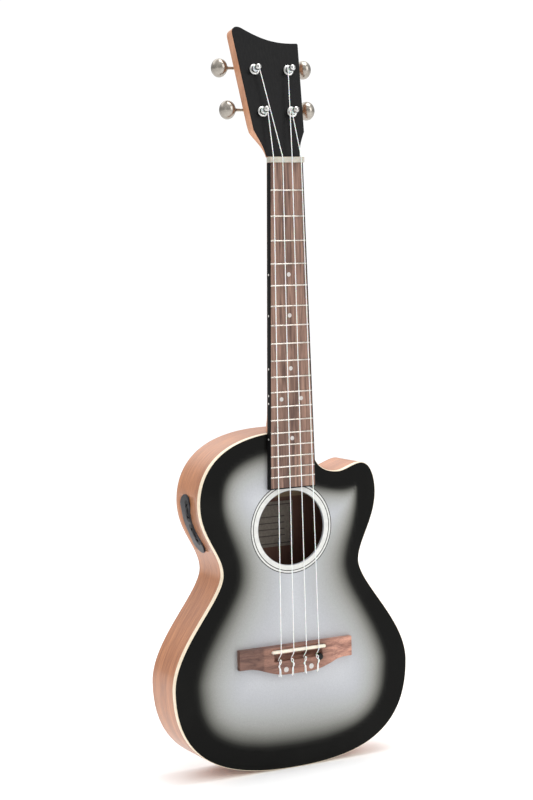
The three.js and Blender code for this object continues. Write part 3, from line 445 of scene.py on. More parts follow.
def plate(name, loops, profile, material, place=flat, spacing=None, hole_profile=None, **options):
    """A plate with rounded edges. The outer loop runs anticlockwise and the holes clockwise."""
    points, faces = [], []
    front_loops, back_loops = [], []
    for number, loop in enumerate(loops):
        pairs = profile if number == 0 or hole_profile is None else hole_profile
        rings = [[(*spot, height) for spot in inset(loop, depth)] for depth, height in pairs]
        offset = len(points)
        points += [p for ring in rings for p in ring]
        faces += [[offset + i for i in face] for face in grid_faces(len(rings), len(loop))]
        front_loops.append([p[:2] for p in rings[0]])
        back_loops.append([p[:2] for p in rings[-1]])
    for side_loops, height in ((front_loops, profile[0][1]), (back_loops, profile[-1][1])):
        spots, triangles = fill(side_loops, spacing)
        offset = len(points)
        points += [(*spot, height) for spot in spots]
        faces += [[offset + i for i in face] for face in triangles]
    world = [place(*p) for p in points]
    return mesh_object(name, world, faces, material, weighted=True, **options)


def sweep(name, loop, section, material, first=0, last=None, **options):
    """A closed section of (inset, y) pairs carried along an outline, or along a part of it.
    Its UVs are the length along the outline and the distance round the section."""
    rings = [inset(loop, depth) for depth, _ in section]
    if last is None:
        order = list(range(len(loop))) + [0]
    else:
        order = [i % len(loop) for i in range(first, last + 1)]
    lengths, total = [], 0.0
    for k, i in enumerate(order):
        if k:
            total += math.dist(loop[order[k - 1]], loop[i])
        lengths.append(total)
    round_section = [0.0]
    for a, b in zip(section, section[1:]):
        round_section.append(round_section[-1] + math.dist(a, b))
    points, uvs = [], []
    for k, i in enumerate(order):
        for n, (_, y) in enumerate(section):
            points.append((rings[n][i][0], y, rings[n][i][1]))
            uvs.append((lengths[k], round_section[n]))
    faces = grid_faces(len(order), len(section))
    if last is not None:
        faces.append(list(range(len(section)))[::-1])
        faces.append([(len(order) - 1) * len(section) + n for n in range(len(section))])
    return mesh_object(name, points, faces, material, uvs=uvs, **options)


# ---------------------------------------------------------------- material helpers


class Nodes:
    """Adds nodes to a tree and links their sockets."""

    def __init__(self, tree):
        self.tree = tree

    def node(self, kind, inputs=(), **settings):
        node = self.tree.nodes.new("ShaderNode" + kind)
        for key, value in settings.items():
            setattr(node, key, value)
        for key, value in dict(inputs).items():
            if isinstance(value, bpy.types.NodeSocket):
                self.tree.links.new(value, node.inputs[key])
            else:
                node.inputs[key].default_value = value
        return node

    def remap(self, value, low, high, to_low=0.0, to_high=1.0):
        inputs = {"Value": value, "From Min": low, "From Max": high, "To Min": to_low, "To Max": to_high}
        return self.node("MapRange", inputs, interpolation_type="SMOOTHSTEP").outputs[0]

    def math(self, operation, *values):
        return self.node("Math", dict(enumerate(values)), operation=operation).outputs[0]


class Recipe(Nodes):
    """A material being made: its node tree and its main shader."""

    def __init__(self, name, **settings):
        self.material = bpy.data.materials.new(name)
        self.material.use_nodes = True
        super().__init__(self.material.node_tree)
        self.shader = self.tree.nodes["Principled BSDF"]
        for key, value in settings.items():
            socket = key.replace("_", " ").title().replace("Ior", "IOR")
            self.shader.inputs[socket].default_value = value

    def source(self, name):
        return self.shader.inputs[name].links[0].from_socket

    def coordinates(self, scale, uv=False):
        """Object or UV coordinates, in metres, times a scale for each axis."""
        source = self.node("TexCoord")
        socket = source.outputs["UV" if uv else "Object"]
        return self.node("Mapping", {"Vector": socket, "Scale": scale}).outputs[0]

    def noise(self, scale, uv=False, detail=3.0, distortion=0.0):
        """Noise that repeats about scale times a metre; scale is a number or one for each axis."""
        axes = scale if isinstance(scale, tuple) else (scale, scale, scale)
        inputs = {"Vector": self.coordinates(axes, uv), "Scale": 1.0, "Detail": detail}
        inputs.update(Roughness=0.55, Distortion=distortion)
        return self.node("TexNoise", inputs).outputs[0]

    def ramp(self, value, stops):
        node = self.node("ValToRGB", {"Fac": value})
        elements = node.color_ramp.elements
        while len(elements) < len(stops):
            elements.new(0.5)
        for element, (position, color) in zip(elements, stops):
            element.position = position
            element.color = (*color, 1)
        return node.outputs[0]

    def mix(self, factor, first, second, blend="MIX"):
        node = self.node("Mix", data_type="RGBA", blend_type=blend)
        for index, value in ((0, factor), (6, first), (7, second)):
            if isinstance(value, bpy.types.NodeSocket):
                self.tree.links.new(value, node.inputs[index])
            else:
                node.inputs[index].default_value = (*value, 1) if index else value
        return node.outputs[2]

    def set(self, name, socket):
        self.tree.links.new(socket, self.shader.inputs[name])

    def bump(self, height, strength, distance):
        inputs = {"Height": height, "Strength": strength, "Distance": distance}
        if self.shader.inputs["Normal"].is_linked:
            inputs["Normal"] = self.source("Normal")
        self.set("Normal", self.node("Bump", inputs).outputs[0])


ALONG_Z = (1.0, 1.0, 0.05)
ALONG_X = (0.05, 1.0, 1.0)


def stretched(direction, scale):
    return tuple(scale * d for d in direction)


def wood_recipe(
    name, dark, light, pore,
    grain=ALONG_Z, uv=False, streaks=0.5, band=70, pores=0.5, roughness=0.45, coat=0.0,
):
    """Wood with bands of tone, fine fibres and short dark pores along the grain."""
    recipe = Recipe(name, roughness=roughness, coat_weight=coat, coat_roughness=0.2)
    broad = recipe.noise(stretched(grain, band), uv, detail=4, distortion=0.6)
    fibre = recipe.noise(stretched(grain, 900), uv)
    bands, fibres = recipe.math("MULTIPLY", broad, streaks), recipe.math("MULTIPLY", fibre, 1 - streaks)
    tone = recipe.math("ADD", bands, fibres)
    color = recipe.mix(recipe.remap(tone, 0.33, 0.67), dark, light)
    pore_noise = recipe.noise(stretched(grain, 2600), uv, detail=1)
    pore_mask = recipe.remap(pore_noise, 0.62, 0.72, 0.0, pores)
    recipe.set("Base Color", recipe.mix(pore_mask, color, pore))
    recipe.set("Roughness", recipe.remap(fibre, 0.2, 0.8, roughness - 0.06, roughness + 0.08))
    recipe.bump(recipe.math("SUBTRACT", fibre, pore_mask), 0.25, 0.00012)
    return recipe


def wood(*colors, **options):
    return wood_recipe(*colors, **options).material


def bridge_wood():
    """Rosewood with painted shade darkening its bass wing and painted light brightening its treble wing."""
    recipe = wood_recipe(
        "bridge_rosewood", (0.12, 0.05, 0.035), (0.33, 0.165, 0.115), (0.06, 0.022, 0.016),
        grain=(0.16, 1.0, 0.9), band=190, streaks=0.7, pores=0.6, roughness=0.5,
    )
    across = recipe.node("SeparateXYZ", {0: recipe.node("TexCoord").outputs["Object"]}).outputs[0]
    # Painted light and shade: the hollowed bass wing is darkened and the treble wing brightened, as light
    # falling from the treble side would.
    painted_light_and_shade = recipe.ramp(
        recipe.remap(across, -0.06, 0.06),
        [(0.0, (0.6, 0.6, 0.62)), (0.105, (0.66, 0.66, 0.68)), (0.115, (0.95, 0.95, 0.95)),
         (0.8, (1.05, 1.05, 1.05)), (0.9, (1.75, 1.8, 1.85)), (1.0, (1.9, 1.95, 2.0))],
    )
    recipe.set("Base Color", recipe.mix(1.0, recipe.source("Base Color"), painted_light_and_shade, "MULTIPLY"))
    return recipe.material


def burst_finish():
    """Silver flake lacquer that fades to black towards the edge of the top."""
    recipe = Recipe("silver_burst", metallic=0.1, specular_ior_level=0.1)
    depth = recipe.node("Attribute", attribute_name="burst").outputs["Fac"]
    drift = recipe.noise(14, detail=2)
    value = recipe.math("ADD", depth, recipe.remap(drift, 0.2, 0.8, -0.012, 0.012))
    stops = [(0.0, 0.003), (0.05, 0.014), (0.1, 0.055), (0.15, 0.115), (0.2, 0.17), (0.27, 0.25)]
    stops += [(0.37, 0.33), (0.53, 0.405), (0.75, 0.465), (1.0, 0.53)]
    olive, blue = Vector((1.0, 0.995, 0.86)), Vector((0.975, 1.0, 1.045))
    colors = []
    for position, light in stops:
        tint = olive.lerp(blue, min(1.0, position * 1.4))
        colors.append((position, tuple(light * channel for channel in tint)))
    base = recipe.ramp(value, colors)
    flake = recipe.noise(3800, detail=1)
    cloud = recipe.noise(500, detail=2)
    glitter = recipe.remap(flake, 0.25, 0.75, -0.09, 0.09)
    sparkle = recipe.math("ADD", glitter, recipe.remap(cloud, 0.2, 0.8, 0.975, 1.025))
    grey = recipe.node("CombineColor", {0: sparkle, 1: sparkle, 2: sparkle}).outputs[0]
    recipe.set("Base Color", recipe.mix(1.0, base, grey, "MULTIPLY"))
    recipe.set("Roughness", recipe.remap(flake, 0.2, 0.8, 0.34, 0.5))
    recipe.bump(flake, 0.06, 0.00005)
    return recipe.material


def black_lacquer(name, roughness=0.36):
    """Satin black finish with a trace of brushed texture."""
    recipe = Recipe(name, specular_ior_level=0.1)
    brush = recipe.noise((700, 700, 40))
    tone = recipe.remap(brush, 0.3, 0.7)
    recipe.set("Base Color", recipe.mix(tone, (0.004, 0.004, 0.0044), (0.0085, 0.0083, 0.0085)))
    recipe.set("Roughness", recipe.remap(brush, 0.2, 0.8, roughness - 0.05, roughness + 0.07))
    recipe.bump(brush, 0.08, 0.00005)
    return recipe.material


def plastic(name, dark, light, roughness=0.4, scale=260, coat=0.0, subsurface=0.0, specular=0.5):
    """Moulded or turned plastic, bone and nylon: soft clouds of tone and a faint surface texture."""
    recipe = Recipe(
        name, coat_weight=coat, coat_roughness=0.2, specular_ior_level=specular,
        subsurface_weight=subsurface, subsurface_scale=0.002,
    )
    cloud = recipe.noise(scale)
    recipe.set("Base Color", recipe.mix(recipe.remap(cloud, 0.3, 0.7), dark, light))
    recipe.set("Roughness", recipe.remap(cloud, 0.2, 0.8, roughness - 0.06, roughness + 0.08))
    recipe.bump(recipe.noise(3000, detail=2), 0.1, 0.00004)
    return recipe.material


def metal(name, color, roughness, tarnish):
    """Plated metal with fine polishing marks and slight cloudiness."""
    recipe = Recipe(name, metallic=1.0)
    marks = recipe.noise(2600, detail=2)
    cloud = recipe.noise(120)
    recipe.set("Base Color", recipe.mix(recipe.remap(cloud, 0.35, 0.75), color, tarnish))
    recipe.set("Roughness", recipe.remap(marks, 0.25, 0.75, roughness * 0.85, roughness * 1.25))
    recipe.bump(marks, 0.03, 0.00001)
    return recipe.material


def pearl():
    """Iridescent inlay with soft swirls."""
    recipe = Recipe("pearl_inlay", coat_weight=0.6, coat_roughness=0.08)
    swirl = recipe.noise(420, distortion=1.5)
    stops = [(0.2, (0.46, 0.42, 0.42)), (0.5, (0.58, 0.55, 0.52)), (0.8, (0.48, 0.51, 0.51))]
    recipe.set("Base Color", recipe.ramp(swirl, stops))
    recipe.set("Roughness", recipe.remap(swirl, 0.2, 0.8, 0.2, 0.36))
    recipe.bump(swirl, 0.05, 0.00005)
    return recipe.material


def label_paper():
    """Aged paper with a plain printed frame and a few ruled lines."""
    recipe = Recipe("label_paper", roughness=0.85)
    low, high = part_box("body_label")
    parts = recipe.node("SeparateXYZ", {0: recipe.node("TexCoord").outputs["Object"]}).outputs
    across = recipe.math("ABSOLUTE", parts[0])
    middle = (low.z + high.z) / 2
    upright = recipe.math("ABSOLUTE", recipe.math("SUBTRACT", parts[2], middle))
    from_side = recipe.math("SUBTRACT", high.x, across)
    from_end = recipe.math("SUBTRACT", (high.z - low.z) / 2, upright)
    rim = recipe.math("MINIMUM", from_side, from_end)
    frame_line = recipe.math("COMPARE", rim, 0.003, 0.0005)
    rules = recipe.math("FRACT", recipe.math("MULTIPLY", parts[2], 170.0))
    rule_line = recipe.math("LESS_THAN", rules, 0.16)
    rule_room = recipe.math("GREATER_THAN", rim, 0.009)
    ink = recipe.math("MAXIMUM", frame_line, recipe.math("MULTIPLY", rule_line, rule_room))
    fibres = recipe.noise(600, detail=4)
    paper = recipe.mix(recipe.remap(fibres, 0.3, 0.7), (0.17, 0.145, 0.12), (0.22, 0.19, 0.16))
    recipe.set("Base Color", recipe.mix(recipe.math("MULTIPLY", ink, 0.75), paper, (0.035, 0.03, 0.025)))
    recipe.bump(fibres, 0.2, 0.0001)
    return recipe.material


MATERIALS = {
    "burst": burst_finish(),
    "binding": plastic("cream_binding", (0.82, 0.70, 0.52), (0.90, 0.79, 0.61), 0.38),
    "rosette_light": plastic("rosette_light", (0.64, 0.64, 0.615), (0.72, 0.72, 0.69), 0.36),
    "rosette_dark": plastic("rosette_dark", (0.012, 0.012, 0.012), (0.025, 0.025, 0.024), 0.4),
    "side_wood": wood(
        "mahogany_side", (0.33, 0.115, 0.042), (0.60, 0.25, 0.105), (0.17, 0.055, 0.022),
        grain=ALONG_X, uv=True, coat=0.5, roughness=0.42,
    ),
    "back_wood": wood(
        "mahogany_back", (0.32, 0.125, 0.055), (0.52, 0.225, 0.11), (0.15, 0.05, 0.024),
        coat=0.18, roughness=0.42,
    ),
    "neck_wood": wood(
        "neck_mahogany", (0.47, 0.205, 0.105), (0.70, 0.36, 0.205), (0.24, 0.095, 0.048),
        coat=0.12, roughness=0.44,
    ),
    # Painted shade: the blocks, the bridge plate and the inner face of the back are coloured far darker than
    # the outer mahogany, standing in for the shade inside the body.
    "inner_wood": wood(
        "inner_mahogany", (0.085, 0.036, 0.024), (0.13, 0.058, 0.038), (0.04, 0.016, 0.01), roughness=0.7,
    ),
    # Painted shade: the braces and linings are coloured far darker than their pale wood, standing in for the
    # shade inside the body.
    "spruce": wood(
        "spruce", (0.16, 0.105, 0.06), (0.23, 0.16, 0.095), (0.10, 0.06, 0.03),
        grain=ALONG_X, band=400, pores=0.15, roughness=0.7,
    ),
    "fingerboard_wood": wood(
        "fingerboard_rosewood", (0.085, 0.042, 0.03), (0.34, 0.20, 0.145), (0.05, 0.02, 0.015),
        band=330, streaks=0.8, pores=0.5, roughness=0.55,
    ),
    "bridge_wood": bridge_wood(),
    "black_edge": black_lacquer("fingerboard_binding", 0.34),
    "veneer": black_lacquer("headstock_lacquer"),
    "bone": plastic("bone", (0.39, 0.365, 0.30), (0.47, 0.44, 0.37), 0.32, coat=0.15, subsurface=0.15),
    "saddle_bone": plastic(
        "saddle_bone", (0.74, 0.68, 0.57), (0.84, 0.78, 0.66), 0.32, coat=0.2, subsurface=0.15,
    ),
    "nylon": plastic("nylon", (0.86, 0.86, 0.85), (0.93, 0.93, 0.92), 0.3, subsurface=0.2),
    "chrome": metal("chrome", (0.56, 0.56, 0.55), 0.12, (0.44, 0.43, 0.41)),
    "satin_nickel": metal("satin_nickel", (0.38, 0.35, 0.31), 0.25, (0.27, 0.24, 0.205)),
    "nickel": metal("nickel", (0.60, 0.57, 0.52), 0.22, (0.45, 0.41, 0.36)),
    "brass": metal("brass", (0.70, 0.48, 0.20), 0.3, (0.45, 0.28, 0.11)),
    "fret_wire": metal("fret_wire", (0.68, 0.63, 0.57), 0.24, (0.50, 0.46, 0.41)),
    "panel": plastic("panel_plastic", (0.014, 0.014, 0.017), (0.03, 0.0295, 0.035), 0.32, specular=0.25),
    "dark_plastic": plastic("dark_plastic", (0.008, 0.008, 0.009), (0.014, 0.014, 0.015), 0.5, specular=0.2),
    "rubber": plastic("lead_rubber", (0.010, 0.010, 0.010), (0.020, 0.020, 0.020), 0.6),
    "ink_black": plastic("black_dot", (0.005, 0.005, 0.005), (0.010, 0.010, 0.010), 0.3, specular=0.2),
    "pearl": pearl(),
    "label": label_paper(),
}


# ---------------------------------------------------------------- body


def bell(value, centre, width):
    return np.exp(-(((value - centre) / width) ** 2))


FADE_LENGTH = 60
ROSETTE_RADIUS = 41.4
ROSETTE_LINES = {"rosette_line_inner": 38.76, "rosette_line_outer": 41.12}
ROSETTE_LINE_HALF_WIDTH = 0.4


def burst_depth(spots):
    """How far the burst has faded at each spot: 0 where it is black, 1 where the top is plain silver."""
    spots = np.array(spots)
    x, z = spots[:, 0], spots[:, 1]
    start = 13 + 6 * bell(z, 80, 45) + 6.5 * bell(z, 245, 32) + 2 * bell(z, 0, 20) + 3 * bell(z, 30, 30)
    start = start - 5 * bell(x, 38, 26) * bell(z, 252, 24) - 3.5 * bell(x, 70, 30) * bell(z, 200, 40)
    hurry = 1 + 0.7 * bell(z, 255, 42) + 0.5 * bell(x, 45, 25) * bell(z, 245, 25) + 0.3 * bell(x, 70, 30)
    return np.clip((distances(spots, BODY_OUTLINE) - start) * hurry / FADE_LENGTH, 0, 1)


def soundboard():
    lip = [(0.7, TOP_Y), (0.58, TOP_Y + 0.03), (0.52, TOP_Y + 0.1), (0.5, TOP_Y + 0.3)]
    lip += [(BINDING_WIDTH + 0.05, TOP_Y + 0.3), (BINDING_WIDTH + 0.05, TOP_Y + TOP_THICKNESS)]
    hole_edge = [(0.35, TOP_Y), (0.1, TOP_Y + 0.08), (0, TOP_Y + 0.35), (0, TOP_Y + TOP_THICKNESS)]
    hole = circle(0, HOLE_Z, HOLE_RADIUS, 96, clockwise=True)
    board = plate(
        "soundboard_top", [BODY_OUTLINE, hole], lip, MATERIALS["burst"], spacing=3, hole_profile=hole_edge
    )
    attribute = board.data.attributes.new("burst", "FLOAT", "POINT")
    spots = [(v.co.x / MM, v.co.z / MM) for v in board.data.vertices]
    attribute.data.foreach_set("value", burst_depth(spots))
    piece(board, replaces=("soundboard",))


def ring_plate(name, inner, outer, front, back, material):
    loops = [circle(0, HOLE_Z, outer, 128), circle(0, HOLE_Z, inner, 128, clockwise=True)]
    return plate(name, loops, [(0.03, front), (0, front + 0.03), (0, back)], material)


def rosette():
    back = TOP_Y + 0.4
    band = ring_plate(
        "rosette_band", HOLE_RADIUS + 0.4, ROSETTE_RADIUS, TOP_Y - 0.04, back, MATERIALS["rosette_light"]
    )
    piece(band, replaces=("rosette_ring",))
    for name, radius in ROSETTE_LINES.items():
        inner, outer = radius - ROSETTE_LINE_HALF_WIDTH, radius + ROSETTE_LINE_HALF_WIDTH
        line = ring_plate(name, inner, outer, TOP_Y - 0.07, back, MATERIALS["rosette_dark"])
        piece(line)


def top_binding():
    low = TOP_Y + BINDING_HEIGHT
    shoulder, crown = TOP_Y + 0.7, TOP_Y + 0.28
    section = [(0.0, low), (0.0, shoulder)]
    for step in range(1, 6):
        angle = math.pi / 2 * step / 5
        section.append((0.5 * (1 - math.cos(angle)), shoulder + (crown - shoulder) * math.sin(angle)))
    section += [(BINDING_WIDTH, crown), (BINDING_WIDTH, low)]
    strip = sweep("top_edge_binding", BODY_OUTLINE, section, MATERIALS["binding"])
    piece(strip, replaces=("top_binding",))


def side_section():
    low, high = TOP_Y + BINDING_HEIGHT, BACK_Y - BACK_THICKNESS
    return [(0, low), (0, high), (SIDE_THICKNESS, high), (SIDE_THICKNESS, low)]


def treble_side():
    side = sweep("treble_side_wood", BODY_OUTLINE, side_section(), MATERIALS["side_wood"], 0, NECK_INDEX)
    hole = lathe("jack_hole", [(100, 5.8), (130, 5.8)], jack_place, MATERIALS["side_wood"])
    piece(carve(side, hole), replaces=("treble_side",))


def bass_side():
    material = MATERIALS["side_wood"]
    side = sweep("bass_side_wood", BODY_OUTLINE, side_section(), material, NECK_INDEX, len(BODY_OUTLINE))
    opening = stadium(PANEL_Y, PANEL_Z, PANEL_HALF_WIDTH - 1.8, PANEL_HALF_LENGTH - 1.8)
    through = [(0, -110), (0, -60)]
    cutter = plate("panel_opening", [opening], through, material, place=lambda y, z, x: (x, y, z))
    piece(carve(side, cutter), replaces=("bass_side",))


def back_plate():
    """The back, with bare wood on the face that looks into the body; that face is coloured dark as painted
    shade.
    """
    inner_y = BACK_Y - BACK_THICKNESS
    profile = edge_profile(inner_y, BACK_Y, back_radius=1.0)
    back = plate("mahogany_back", [BODY_OUTLINE], profile, MATERIALS["back_wood"])
    back.data.materials.append(MATERIALS["inner_wood"])
    for polygon in back.data.polygons:
        if polygon.center.y < (inner_y + 0.01) * MM:
            polygon.material_index = 1
    piece(back, replaces=("back_plate",))


# ---------------------------------------------------------------- preamp and jack

PANEL_Y = TOP_Y + 28.25
PANEL_Z = 228
PANEL_HALF_WIDTH = 9.25
PANEL_HALF_LENGTH = 27
PANEL_PROUD = 1.4
WHEEL_RADIUS = 9
WHEEL_WIDTH = 3
WHEEL_Y = TOP_Y + 24
WHEELS = {"volume_wheel": 240.5, "tone_wheel": 219}
SLOT_HALF_WIDTH = 1.95
SLOT_HALF_LENGTH = 6.6
WELL_HALF_LENGTH = 9.4  # of the wheel's space behind its slot
JACK_Y = TOP_Y + 28
JACK_Z = 85
JACK_X = 120


def stadium(u, v, half_width, half_length, steps=24, clockwise=False):
    """A loop with straight sides along its second axis and round ends."""
    straight = half_length - half_width
    points = []
    for end, first in ((1, 0), (-1, math.pi)):
        for i in range(steps + 1):
            angle = first + math.pi * i / steps
            across, along = half_width * math.cos(angle), half_width * math.sin(angle)
            points.append((u + across, v + end * straight + along))
    return points[::-1] if clockwise else points


BASS_EDGE = [p for p in BODY_OUTLINE if p[0] < -60 and 184 <= p[1] <= 300]


def bass_edge(z):
    """A point of the bass side at a height, and the way out of the body there."""
    for above, below in zip(BASS_EDGE, BASS_EDGE[1:]):
        if above[1] >= z >= below[1]:
            share = (above[1] - z) / (above[1] - below[1])
            spot = Vector(above).lerp(Vector(below), share)
            out = Vector((below[1] - above[1], above[0] - below[0])).normalized()
            return spot, out
    raise ValueError(z)


def on_bass_side(y, z, height):
    """Lays a plate on the bass side: height is measured outwards from its face."""
    spot, out = bass_edge(z)
    return spot.x + out.x * height, y, spot.y + out.y * height


def jack_place(x, a, b):
    return x, JACK_Y + a, JACK_Z + b


def wheel_openings(half_length):
    return [
        stadium(WHEEL_Y, z, SLOT_HALF_WIDTH, half_length, 10, clockwise=True) for z in WHEELS.values()
    ]


def preamp_panel():
    outline = stadium(PANEL_Y, PANEL_Z, PANEL_HALF_WIDTH, PANEL_HALF_LENGTH, 32)
    slots = wheel_openings(SLOT_HALF_LENGTH)
    angles = np.linspace(0, math.pi / 2, 6)
    round_edge = [(0.9 * (1 - math.sin(a)), PANEL_PROUD - 0.9 * (1 - math.cos(a))) for a in angles]
    slot_edge = [(0.35, PANEL_PROUD), (0.1, PANEL_PROUD - 0.1), (0, PANEL_PROUD - 0.35), (0, 0.1)]
    panel = plate(
        "preamp_panel_cover", [outline, *slots], [*round_edge, (0, 0.1)], MATERIALS["panel"],
        place=on_bass_side, spacing=2, hole_profile=slot_edge,
    )
    piece(panel, replaces=("preamp_panel",))
    for (name, z), slot in zip(WHEELS.items(), slots):
        wheel_surround(name, z, slot)
    plug_outline = stadium(PANEL_Y, PANEL_Z, PANEL_HALF_WIDTH - 2.2, PANEL_HALF_LENGTH - 2.2, 32)
    plug = plate(
        "preamp_panel_plug", [plug_outline, *wheel_openings(WELL_HALF_LENGTH)],
        [(0, 0.2), (0, -SIDE_THICKNESS - 0.6)], MATERIALS["panel"], place=on_bass_side, spacing=3,
    )
    piece(plug)


def wheel_surround(name, z, slot):
    """A thin raised rim round a wheel's slot."""
    top, low = PANEL_PROUD + 0.12, PANEL_PROUD - 0.2
    rim = plate(
        name + "_surround", [stadium(WHEEL_Y + 0.4, z, 3.3, 9.8, 16), slot],
        [(0.2, top), (0, top - 0.15), (0, low)], MATERIALS["dark_plastic"],
        place=on_bass_side, spacing=2, hole_profile=[(0.15, top), (0, PANEL_PROUD), (0, low)],
    )
    piece(rim)


def knurled_disc(name, place, radius, half_width, material, ridges=60):
    """A disc with a rounded, ridged rim, turned about the first axis of place."""
    rim = [(-half_width, 0.82, 0), (-half_width, 0.93, 0)]
    rim += [(-half_width * 0.8, 0.975, 0.5), (-half_width * 0.5, 1, 1)]
    rim += [(-height, share, ridge) for height, share, ridge in rim[::-1]]
    rings = []
    for height, share, ridge in rim:

        def reach(angle, share=share, ridge=ridge):
            return radius * share - 0.12 * ridge * (1 - math.cos(ridges * angle))

        rings.append(turned_ring(place, height, reach, ridges * 4))
    return loft(name, rings, material)


def thumbwheels():
    material = MATERIALS["dark_plastic"]
    for name in WHEELS:
        low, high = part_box(name)
        centre = (low + high) / 2 / MM

        def place(height, a, b, centre=centre):
            return centre.x + a, WHEEL_Y + height, centre.z + b

        disc = knurled_disc(name + "_disc", place, WHEEL_RADIUS, WHEEL_WIDTH / 2, material)
        axle = lathe(name + "_axle", [(-4, 1.0), (-3.8, 1.2), (3.8, 1.2), (4, 1.0)], place, material)
        wheel = merged(name + "_knob", [disc, axle])
        piece(wheel, name, (name,))


def output_jack():
    profile = [(-24, 3.25), (-24, 5.5), (-8, 5.5), (0.12, 5.5), (0.12, 7.7), (0.3, 7.8), (0.9, 7.8)]
    profile += [(1.3, 7.6), (1.55, 7.0), (1.6, 5.4), (1.8, 5.2), (1.95, 4.8), (1.95, 3.7), (1.8, 3.4)]
    profile += [(1.5, 3.25), (-24, 3.25)]
    shell = lathe(
        "output_jack_shell", [(JACK_X + height, radius) for height, radius in profile],
        jack_place, MATERIALS["chrome"], 64, caps=False,
    )
    piece(shell, replaces=("output_jack",))


# ---------------------------------------------------------------- neck and headstock


def fingerboard_half_width(z):
    share = (NUT_Z - min(z, NUT_Z)) / SCALE_LENGTH
    return (NUT_WIDTH + (SADDLE_LINE_WIDTH - NUT_WIDTH) * share) / 2


NECK_SECTIONS = [
    # z, front and back behind the soundboard's face, how pointed the back is
    (308.3, 0, 44, 2.4),
    (311, 0, 43.6, 2.4),
    (314, 0, 41, 2.3),
    (318, 0, 34.5, 2.1),
    (323, 0, 27.5, 1.85),
    (329, 0, 22, 1.6),
    (337, 0, 18.2, 1.4),
    (348, 0, 16.2, 1.3),
    (368, 0, 15.4, 1.25),
    (420, 0, 14.8, 1.25),
    (480, 0, 14.3, 1.25),
    (526.4, 0, 14, 1.25),
    (551.4, 0, 14, 1.25),
    (551.6, 1.6, 14, 1.25),
    (560.4, 3.9, 14.3, 1.25),
    (566, 5.6, 15.4, 1.25),
    (574, 8, 17.4, 1.25),
    (584, 11, 19.8, 1.25),
]
NECK_SIDES = 40


def neck_ring(z, front, back, taper):
    ring = []
    for i in range(NECK_SIDES + 1):
        angle = math.pi * i / NECK_SIDES
        reach = fingerboard_half_width(z) * math.copysign(abs(math.cos(angle)) ** taper, math.cos(angle))
        ring.append((reach, TOP_Y + front + (back - front) * max(math.sin(angle), 0) ** 1.6, z))
    return ring


def neck_shaft():
    sections = [tuple(v) for v in smooth_rows(NECK_SECTIONS, 5)]
    return loft("neck_shaft", [neck_ring(*s) for s in sections], MATERIALS["neck_wood"])


HEAD_OUTLINE = curve_chain(
    (17, 0),
    ((17.4, 9), (20.4, 15), (24.8, 23.6)),
    ((31.2, 104.4),),
    ((31.27, 105.6), (30.73, 106.2), (29.6, 106.2)),
    ((8, 105), (-5, 108.6), (-23.5, 118.6)),
    ((-29.5, 121.8), (-34.4, 119.6), (-33.8, 113)),
    ((-25.8, 25),),
    ((-21.6, 16), (-17.6, 9), (-17, 0)),
) + [(-17, 0)]
POST_HOLE_RADIUS = 4.5
FACE_START = 0.8  # of the black face, along the head from the nut


def on_head(x, along, y):
    return head_to_world(x, y, along)


def on_head_back(x, along, y):
    """As on_head, for the wood behind the face: it thins towards the nut to leave the neck's round back."""
    share = min(1, max(0, (along + 2) / 34))
    thinning = 0.06 + 0.94 * share * share * (3 - 2 * share)
    return head_to_world(x, VENEER_THICKNESS + (y - VENEER_THICKNESS) * thinning, along)


def post_holes():
    return [circle(x, along, POST_HOLE_RADIUS, 40, clockwise=True) for _, _, x, along, _ in POSTS]


def neck():
    profile = edge_profile(VENEER_THICKNESS, HEAD_THICKNESS, back_radius=1.2)
    square = [(0, VENEER_THICKNESS), (0, HEAD_THICKNESS)]
    head = plate(
        "headstock_wood", [HEAD_OUTLINE, *post_holes()], profile, MATERIALS["neck_wood"],
        place=on_head_back, spacing=4, hole_profile=square,
    )
    piece(head)
    piece(neck_shaft(), replaces=("neck",))
    outline = [(x, max(along, FACE_START)) for x, along in HEAD_OUTLINE]
    face = plate(
        "headstock_face", [outline, *post_holes()], edge_profile(0, VENEER_THICKNESS, front_radius=0.35),
        MATERIALS["veneer"], place=on_head, hole_profile=[(0.1, 0), (0, 0.1), (0, VENEER_THICKNESS)],
    )
    piece(face, replaces=("headstock_veneer",))


FRET_HALF_WIDTH = 0.8
FRET_HEIGHT = 0.95


def fret_z(number):
    return NUT_Z - SCALE_LENGTH * (1 - 2 ** (-number / 12))


def fret_wire(number):
    """One fret: a crowned wire whose ends are rounded over."""
    z = fret_z(number)
    reach = fingerboard_half_width(z) - 1.0
    rings = []
    for share, size in ((-1, 0.35), (-0.985, 0.8), (-0.965, 1), (0.965, 1), (0.985, 0.8), (1, 0.35)):
        x, foot = share * reach, FINGERBOARD_FACE_Y + 0.3
        ring = [(x, foot, z - FRET_HALF_WIDTH), (x, foot, z + FRET_HALF_WIDTH)]
        for i in range(9):
            angle = math.pi * i / 8
            y = FINGERBOARD_FACE_Y - FRET_HEIGHT * size * math.sin(angle)
            ring.append((x, y, z + FRET_HALF_WIDTH * math.cos(angle)))
        rings.append(ring)
    return loft(f"fret_{number}", rings, MATERIALS["fret_wire"])


def dot(name, x, z, radius, front, material):
    """A thin round inlay in a face that looks along -Y."""
    profile = [(front, radius - 0.05), (front + 0.04, radius), (front + 0.5, radius)]
    return lathe(name, profile, lambda y, a, b: (x + a, y, z + b), material, 32)


EDGE_WIDTH = 1.2
DOT_RADIUS = 1.95
DOT_PLACES = [(5, [0]), (7, [0]), (10, [0]), (12, [-10, 10]), (15, [0])]


